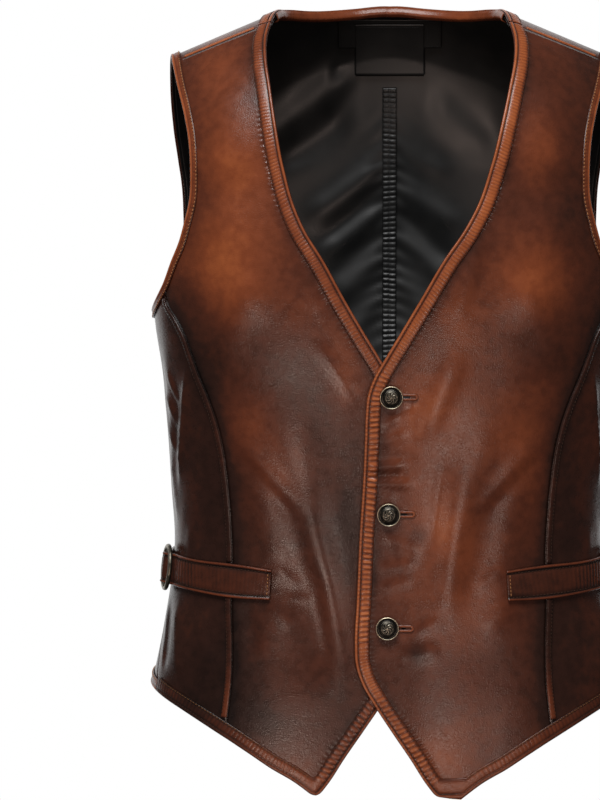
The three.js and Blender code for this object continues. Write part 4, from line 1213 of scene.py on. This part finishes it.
for hand, side in SIDES.items():
    seam = princess(side)
    seam_lap("upper", hand, side, LAP_START, seam.before(LAP_ABOVE))
    seam_lap("lower", hand, side, seam.before(LAP_BELOW), seam.length - LAP_END)
    knots = straight(front_edge(side).at(0), armhole(side).at(0), 12)
    ridge = Line(knots[:, 0], knots[:, 1])
    s = np.linspace(ridge.knot[PIPING_KNOT], ridge.knot[-1 - PIPING_KNOT], 60)
    strip("shoulder_piping_" + hand, "cord", *strip_rings(ridge, s, PIPING, 1, TRIM))

# %% [markdown]
# ## The waist straps
# Each strap is a band with rolled, stitched edges. It is sewn to the front by a cross row, goes
# through a round slide buckle at the side, over its bar, and ends on the back.

# %% Straps
STRAP = table("turn climb", [[44.4, -359], [60, -356.5], [81, -354], [98, -354], [116, -354]])
BUCKLE_KNOT = 2
RING, WIRE, BAR, FLOAT, CLEAR, FOOT = 18.4, 1.9, 1.5, 8.6, 0.6, 4.2


def over_bar(middle):
    """How far the strap rises over the buckle's bar: one wave of a cosine, the ring wide."""
    foot = RING - FOOT

    def rise(s):
        away = np.clip(np.abs(s - middle), 0, foot)
        return (FLOAT + BAR + CLEAR - STRAP_LOW) * (1 + np.cos(np.pi * away / foot)) / 2

    return rise


def strap(hand, side):
    path = Line(STRAP["turn"], STRAP["climb"], side)
    middle = path.knot[BUCKLE_KNOT]
    rise = over_bar(middle)
    s = np.concatenate([np.linspace(0, path.length, 220), middle + np.linspace(-16, 16, 60)])

    def creases(s, a):
        soft = 0.9 * np.exp(-(((s - middle + 30) / 17) ** 2)) + 0.15
        return soft * gathers(s, a + 20, 9.5, 30.5, 3.9, side)

    def swell(s):
        return 1 + 0.07 * np.exp(-(((s - 38) / 24) ** 2)) - 0.05 * np.exp(-((s / 12) ** 2))

    shape = dict(ribs=creases, float_up=rise, swell=swell)
    rings, tone = strip_rings(path, np.unique(s), STRAP_BAND, 1, STRAP_LOW, **shape)
    strip("strap_" + hand, "band", rings, tone, "leather_brown")
    print("strap", hand, round(path.length), "mm long")

    rows, high = [], STRAP_LOW + 1.45
    for n, a in enumerate((-10.4, 10.4)):
        name, ends = f"strap{n}_{hand}", (4, path.length - 4)
        rows.append(stitches(name, path, *ends, a, 1, high, thread_dark, lift=rise))
    for n, end in enumerate((2.6, path.length - 2.6)):
        cross = across(path, np.full(9, end), np.linspace(-9, 9, 9), 1)
        line = Line(cross[:, 0], cross[:, 1])
        name = f"strapend{n}_{hand}"
        rows.append(stitches(name, line, 0, line.length, 0, 1, STRAP_LOW + 2.1, thread_tan))
    stitch_rows["side_" + hand] += rows
    return path.at(middle)


buckle_spots = {hand: strap(hand, side) for hand, side in SIDES.items()}

# %% [markdown]
# ## Buckles and buttons
# Both are cast brass, darkened and rubbed. A button is turned round its axis: its height is a smooth
# curve of the radius, with a ring of beads and a plain flower of petals added as waves of the angle.


# %% Hardware
def seat(spot, out=0.0):
    """Where something stands on the cloth: a matrix of its axes, the last one pointing outwards."""
    spot = np.asarray(spot, float)
    normal, (_, up) = outward(spot), steps(spot)
    right = unit(np.cross(up, normal))
    middle = figure(*spot) + normal * out
    return middle, np.stack([right, np.cross(normal, right), normal])


def put(points, spot, out=0.0):
    """Points in a seat's own axes, put in their place."""
    middle, axes = seat(spot, out)
    return middle + points @ axes


def ring_and_bar(hand):
    around, about = np.linspace(0, 2 * np.pi, 97)[:-1], np.linspace(0, 2 * np.pi, 19)[:-1]
    u, v = np.meshgrid(around, about, indexing="ij")
    wire = WIRE * (1 + 0.05 * np.cos(24 * u) * np.cos(v))
    reach = RING + wire * np.cos(v)
    torus = np.stack([reach * np.cos(u), reach * np.sin(u), wire * np.sin(v)], -1)
    along, turned = np.linspace(-RING, RING, 25), np.linspace(0, 2 * np.pi, 13)[:-1]
    y, w = np.meshgrid(along, turned, indexing="ij")
    thick = BAR * (1 + 0.25 * (np.abs(y) / RING) ** 6)
    bar = np.stack([thick * np.cos(w), y, thick * np.sin(w)], -1)
    corners = np.concatenate([torus.reshape(-1, 3), bar.reshape(-1, 3)])
    faces = grid_faces(96, 18, True, True).tolist()
    start = len(torus.reshape(-1, 3))
    faces += (grid_faces(25, 12, False, True) + start).tolist()
    faces += [list(range(start, start + 12)), list(range(start + 24 * 12, start + 25 * 12))]
    numbers = {"worn": 0.32 + 0.3 * np.clip(corners[:, 2] / WIRE, -1, 1)}
    corners = put(corners, buckle_spots[hand], FLOAT)
    obj = piece(f"buckle_{hand}_ring", corners, faces, antique, numbers, closed=True)
    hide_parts("buckle_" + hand)


for hand in SIDES:
    ring_and_bar(hand)

BUTTONS = table("x climb", [[2, -198], [0, -297], [-1, -394]])
BUTTON_SEAT = 7.8
BUTTON = table("radius height worn", [
    [0.01, 4.05, 0.62], [1, 4.02, 0.6], [2.8, 3.85, 0.56], [4.4, 3.45, 0.5], [5.5, 2.95, 0.42],
    [6.4, 2.3, 0.3], [7.2, 1.75, 0.08], [8.2, 1.55, 0.06], [8.7, 2.2, 0.5], [9.1, 2.6, 0.95],
    [9.5, 2.45, 0.95], [9.72, 1.9, 0.75], [9.75, 1.2, 0.5], [9.6, 0.6, 0.3], [8.4, 0, 0.1],
    [2.2, -0.1, 0.05], [2.2, -3.9, 0.05], [0.01, -3.9, 0.05],
])


def button(number, spot):
    """A domed button: the table's profile turned round its axis, with beads near the rim and a
    flower in the middle, as waves of the angle inside bells of the radius."""
    knot = np.linspace(0, 1, len(BUTTON["radius"]))
    t = np.concatenate([np.linspace(0, knot[13], 90), knot[14:]])
    radius, height, worn = (np.interp(t, knot, BUTTON[key]) for key in ("radius", "height", "worn"))
    angle = np.linspace(0, 2 * np.pi, 121)[:-1]
    r, w = np.meshgrid(radius, angle, indexing="ij")
    h = height[:, None] + 0 * r
    face = (t <= knot[8])[:, None]
    beads = 0.26 * np.exp(-(((r - 6.3) / 0.4) ** 2)) * (0.5 + 0.5 * np.cos(30 * w))
    whorl = np.cos(4 * w + 0.6 * number + 0.9 * r) ** 2 - 0.4
    petals = 0.4 * np.exp(-(((r - 3.1) / 1.2) ** 2)) * whorl
    rings = 0.2 * np.exp(-(((r - 5) / 0.3) ** 2)) + 0.3 * np.exp(-((r / 0.8) ** 2))
    relief = face * (beads + petals + rings)
    top = np.stack([r * np.cos(w), r * np.sin(w), h + relief], -1)
    rub = np.clip(worn[:, None] + 1.6 * relief - 0.3 * face, 0, 1)
    faces = grid_faces(len(t), 120, False, True).tolist()
    faces += [list(range(120)), list(range((len(t) - 1) * 120, len(t) * 120))]
    corners = put(top, spot, BUTTON_SEAT)
    name, numbers = f"button_{number}_cast", {"worn": rub}
    obj = piece(name, corners, faces, antique, numbers, closed=True)
    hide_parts(f"button_{number}")


button_spots = np.stack([turn_at(BUTTONS["x"], BUTTONS["climb"]), BUTTONS["climb"]], -1)
for number, spot in enumerate(button_spots, 1):
    button(number, spot)
print("buttons at", button_spots.round(1).tolist())

# %% [markdown]
# ## Buttonholes
# A bound buttonhole has two corded lips round its slit. The lips are one cord carried round the slit,
# and the slit itself is cut through the left front with a keyhole at the button's end.

# %% Buttonholes
HOLE_RADIUS, HOLE_SLIT, HOLE_GAP, HOLE_DEPTH = 2.8, 15, 1.4, 14
LIP_FROM, LIP_TO, LIP_HALF, LIP_WIDE, LIP_LOW, LIP_HIGH = 6.2, 19.1, 1.9, 1.05, 5.9, 6.8


def keyhole(spot):
    """The cutter for one buttonhole: a round eye and a straight slit, as one outline pushed through."""
    half = np.arcsin(HOLE_GAP / 2 / HOLE_RADIUS)
    angle = np.linspace(half, 2 * np.pi - half, 24)
    eye = HOLE_RADIUS * np.stack([np.cos(angle), np.sin(angle)], -1)
    slit = np.array([[HOLE_SLIT, -HOLE_GAP / 2], [HOLE_SLIT, HOLE_GAP / 2]])
    outline = np.concatenate([eye, slit])
    count = len(outline)
    flat = [np.column_stack([outline, np.full(count, h)]) for h in (0, HOLE_DEPTH)]
    faces = grid_faces(2, count, False, True).tolist()
    faces += [list(range(count)), list(range(count, 2 * count))]
    return put(np.concatenate(flat), spot), faces


def cut_holes(obj):
    for spot in button_spots:
        corners, faces = keyhole(spot)
        mesh = bpy.data.meshes.new("keyhole")
        mesh.from_pydata((corners / 1000).tolist(), [], faces)
        turned_out(mesh)
        cutter = bpy.data.objects.new("keyhole", mesh)
        bpy.context.collection.objects.link(cutter)
        cut = obj.modifiers.new("keyhole", "BOOLEAN")
        cut.object, cut.operation, cut.solver = cutter, "DIFFERENCE", "EXACT"
        applied(obj)
        bpy.data.objects.remove(cutter)


def lips(number, spot):
    """A flat cord round the slit: a racetrack path with a low oval section and fine cross ribs."""
    ends = np.repeat([LIP_TO, LIP_FROM], 9)
    angle = np.concatenate([np.linspace(-0.5, 0.5, 9), np.linspace(0.5, 1.5, 9)]) * np.pi
    corner = np.stack([ends + LIP_HALF * np.cos(angle), LIP_HALF * np.sin(angle)], -1)
    out = np.stack([np.cos(angle), np.sin(angle)], -1)
    run = np.linspace(0, 1, 26)[1:-1, None]
    upper = corner[8] + (corner[9] - corner[8]) * run
    lower = corner[17] + (corner[0] - corner[17]) * run
    middle = np.concatenate([corner[:9], upper, corner[9:], lower])
    away = np.concatenate([out[:9], np.repeat(out[8:9], 24, 0), out[9:], np.repeat(out[17:], 24, 0)])
    section = np.linspace(0, 2 * np.pi, 11)[:-1]
    rib = 1 + 0.07 * np.cos(np.arange(len(middle)) * 2.1)[:, None]
    aside = LIP_WIDE * np.cos(section)[None] * rib
    high = (LIP_LOW + LIP_HIGH) / 2 + (LIP_HIGH - LIP_LOW) / 2 * np.sin(section)[None] * rib
    flat = middle[:, None] + away[:, None] * aside[..., None]
    around, up = steps(spot)
    right = unit(np.cross(up, outward(spot)))
    split = np.linalg.lstsq(np.stack([around, up], 1), np.stack([right, unit(up)], 1), rcond=None)[0]
    spots = spot + flat @ split.T
    rings = place(spots, high - LAP_LIFT, True)
    # The cord is lighter on top, where it is rubbed and a painted highlight lies, and darker underneath
    # as painted shade.
    tone = 0.34 + 0.3 * np.sin(section)[None] + 0 * high
    name = f"buttonhole_{number}"
    obj = tube(name + "_lips", rings, leather, plain(tone), True)
    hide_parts(name)


cut_holes(panels["front_left"])
for number, spot in enumerate(button_spots, 1):
    lips(number, spot)
print("buttonholes", len(button_spots))

# %% [markdown]
# ## Inside the neck
# A narrow leather band faces the back neck. Below it a plain hanger patch is box-stitched at its
# ends, and a bare label is sewn over it along its top. The ladder seam is a ribbed satin strip.

# %% Inside the neck
BAND = table("across height tone", [
    [5, 0, 0.4], [5, 0.6, 0.46], [4.4, 1, 0.48], [2.8, 1.15, 0.5], [1.2, 1.1, 0.53], [0, 0.9, 0.55],
    [-0.9, 0.2, 0.55], [-1.25, -1.5, 0.55], [-1.3, -4, 0.55], [-1.15, -6.5, 0.55], [-0.5, -6.5, 0.4],
    [-0.45, -4, 0.4], [-0.3, -1, 0.4], [0.8, 0, 0.4],
])
LADDER = table("across height tone", [
    [-6, 0, 0], [-6.2, 0.4, 0], [-5.4, 0.75, 0], [-3, 0.6, 0], [-0.6, 0.55, 0], [0, 0.3, 0],
    [0.6, 0.55, 0], [3, 0.6, 0], [5.4, 0.75, 0], [6.2, 0.4, 0], [6, 0, 0],
])
BAND_END = 212
share, half = np.linspace(0, 1, 500), top.half.length
end = np.interp(BAND_END, top.half.climb(share * half), share) * half
s = np.linspace(half - end, half + end, 220)
strip("neck_band", "facing", *strip_rings(top, s, BAND, -1, FACING, sign=-1))

ladder_line = Line(np.full(24, 180.0), np.linspace(40, -190, 24))
s = np.linspace(0, ladder_line.length, 400)


def rungs(s, a):
    """The ladder's rungs: a raised wave every pitch along the strip, flat at its edges."""
    uneven = 0.7 + 0.3 * np.sin(s / 9.7) * np.sin(s / 4.1)
    slant = 0.12 * a * np.sin(s / 23)
    crest = np.abs(np.sin(np.pi * (s + slant) / 4.7)) - 0.6
    return 2 * uneven * ease((6.4 - np.abs(a)) / 1.4) * crest


rings, _ = strip_rings(ladder_line, s, LADDER, 1, FACING, ribs=rungs, sign=-1)
ladder = tube("ladder_seam_ribs", rings, satin)
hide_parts("ladder_seam")


def level(x, climb):
    """The climbs that keep a row level below the rising nape: what the height still lacks is added,
    five times over."""
    wanted = figure(180.0, climb)[..., 2]
    moved = climb + 0 * x
    for again in range(5):
        moved = moved + wanted - figure(turn_at(x, moved, True), moved)[..., 2]
    return moved


WIDE, TALL = 61, 25


def inside_sheet(node, half, low, high, layer, thick, wave):
    """A rectangle of cloth on the lining, with a slightly wavy face, and the size of its cut."""
    climb, x = np.meshgrid(np.linspace(low, high, TALL), np.linspace(half, -half, WIDE), indexing="ij")
    levelled = level(x, climb)
    spots = np.stack([turn_at(x, levelled, True), levelled], -1)
    soft = wave * np.sin(x / 9.0 + climb / 15) * np.sin(climb / 7.0)
    corners = place(spots, layer - soft, rise=False)
    faces = facing_out(corners.reshape(-1, 3), grid_faces(TALL, WIDE), spots.reshape(-1, 2))
    runs = corners[TALL // 2], corners[:, WIDE // 2]
    cut = tuple(np.linalg.norm(np.diff(run, axis=0), axis=-1).sum() / 1000 for run in runs)
    obj = thickened(piece(node + "_cloth", corners, faces.tolist(), satin), thick)
    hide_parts(node)
    return obj, cut


patch_piece, patch_cut = inside_sheet("locker_patch", 47, 67, 98, FACING, 0.8, 0.12)
label_piece, label_cut = inside_sheet("label", 31.5, 47, 93, LABEL, 0.6, 0.06)


def inner_row(name, corners, out):
    """Stitches along straight runs on the lining, given as x and climb."""
    rows = []
    how = dict(pitch=2.6, long=1.9, thick=0.25, sign=-1, slot="lining_satin")
    for n, ((x0, c0), (x1, c1)) in enumerate(zip(corners[:-1], corners[1:])):
        x, climb = np.linspace(x0, x1, 12), np.linspace(c0, c1, 12)
        levelled = level(x, climb)
        line = Line(turn_at(x, levelled, True), levelled)
        rows.append(stitches(f"{name}_{n}", line, 0, line.length, 0, 1, out, thread_black, **how))
    return rows


label_rows = inner_row("label", [(-29, 90), (29, 90)], LABEL - 0.8)
patch_rows = []
for n, side in enumerate((-1, 1)):
    x0, x1 = side * 45, side * 35
    box = [(x0, 69), (x0, 96), (x1, 96), (x1, 69), (x0, 69)]
    patch_rows += inner_row(f"patch{n}", box, FACING - 1.0)
print("patch and label cut", patch_cut, label_cut)

# %% [markdown]
# ## What was cloth
# The number of sheets of cloth: the leather panels, the lining, the hanger patch and the label.

# %% Sheets
print("sheets", len(panels) + 2)

# %% [markdown]
# ## The studio
# The picture is a cut-out on white, so a large white sheet stands far behind. A small tilted lamp,
# low on the wearer's right, draws the sheen down the leather. A second low one lights the left
# front, and a broad one above gives the even light. Both low lamps are warm, as the sheen is.


# %% Backdrop and lights
def backdrop(half=6.0, y=5.5, low=-5.0, high=4.5):
    white = Finish("white_paper")
    glow = white.nodes.new("ShaderNodeEmission")
    glow.inputs["Strength"].default_value = 1.0
    glow.inputs["Color"].default_value = (1, 1, 1, 1)
    white.links.new(glow.outputs[0], white.nodes["Material Output"].inputs["Surface"])
    mesh = bpy.data.meshes.new("backdrop")
    corners = [(-half, y, low), (half, y, low), (half, y, high), (-half, y, high)]
    mesh.from_pydata(corners, [], [(0, 1, 2, 3)])
    mesh.materials.append(white.material)
    obj = bpy.data.objects.new("backdrop", mesh)
    bpy.context.collection.objects.link(obj)


def lamp(name, at, towards, size, power, colour=(1, 1, 1), roll=0.0):
    """A rectangular lamp, aimed at a point and rolled round its own axis by roll radians."""
    data = bpy.data.lights.new(name, "AREA")
    data.shape, data.size, data.size_y = "RECTANGLE", size[0], size[1]
    data.energy, data.color = power, colour
    obj = bpy.data.objects.new(name, data)
    obj.location = at
    aimed = (Vector(towards) - Vector(at)).to_track_quat("-Z", "Y")
    obj.rotation_euler = (aimed @ Quaternion((0, 0, 1), roll)).to_euler()
    bpy.context.collection.objects.link(obj)


backdrop()
lamp("key", (-0.8, -2.2, -1.12), (-0.06, 0, -0.45), (0.36, 0.18), 9.8, (1, 0.76, 0.65), 0.5)
lamp("fill", (0.6, -2.28, -0.92), (0.02, 0, -0.4), (0.2, 0.5), 7, (1, 0.78, 0.68))
lamp("top", (-0.3, -1.4, 1.6), (0, -0.1, -0.35), (1.6, 1.0), 68)
world = bpy.data.worlds.new("studio")
world.use_nodes = True
grey = world.node_tree.nodes["Background"]
grey.inputs["Color"].default_value = (0.95, 0.95, 0.95, 1)
grey.inputs["Strength"].default_value = 0.075
bpy.context.scene.world = world
bpy.context.scene.view_settings.view_transform = "Standard"
print("lamps", [lit.name for lit in bpy.data.lights])
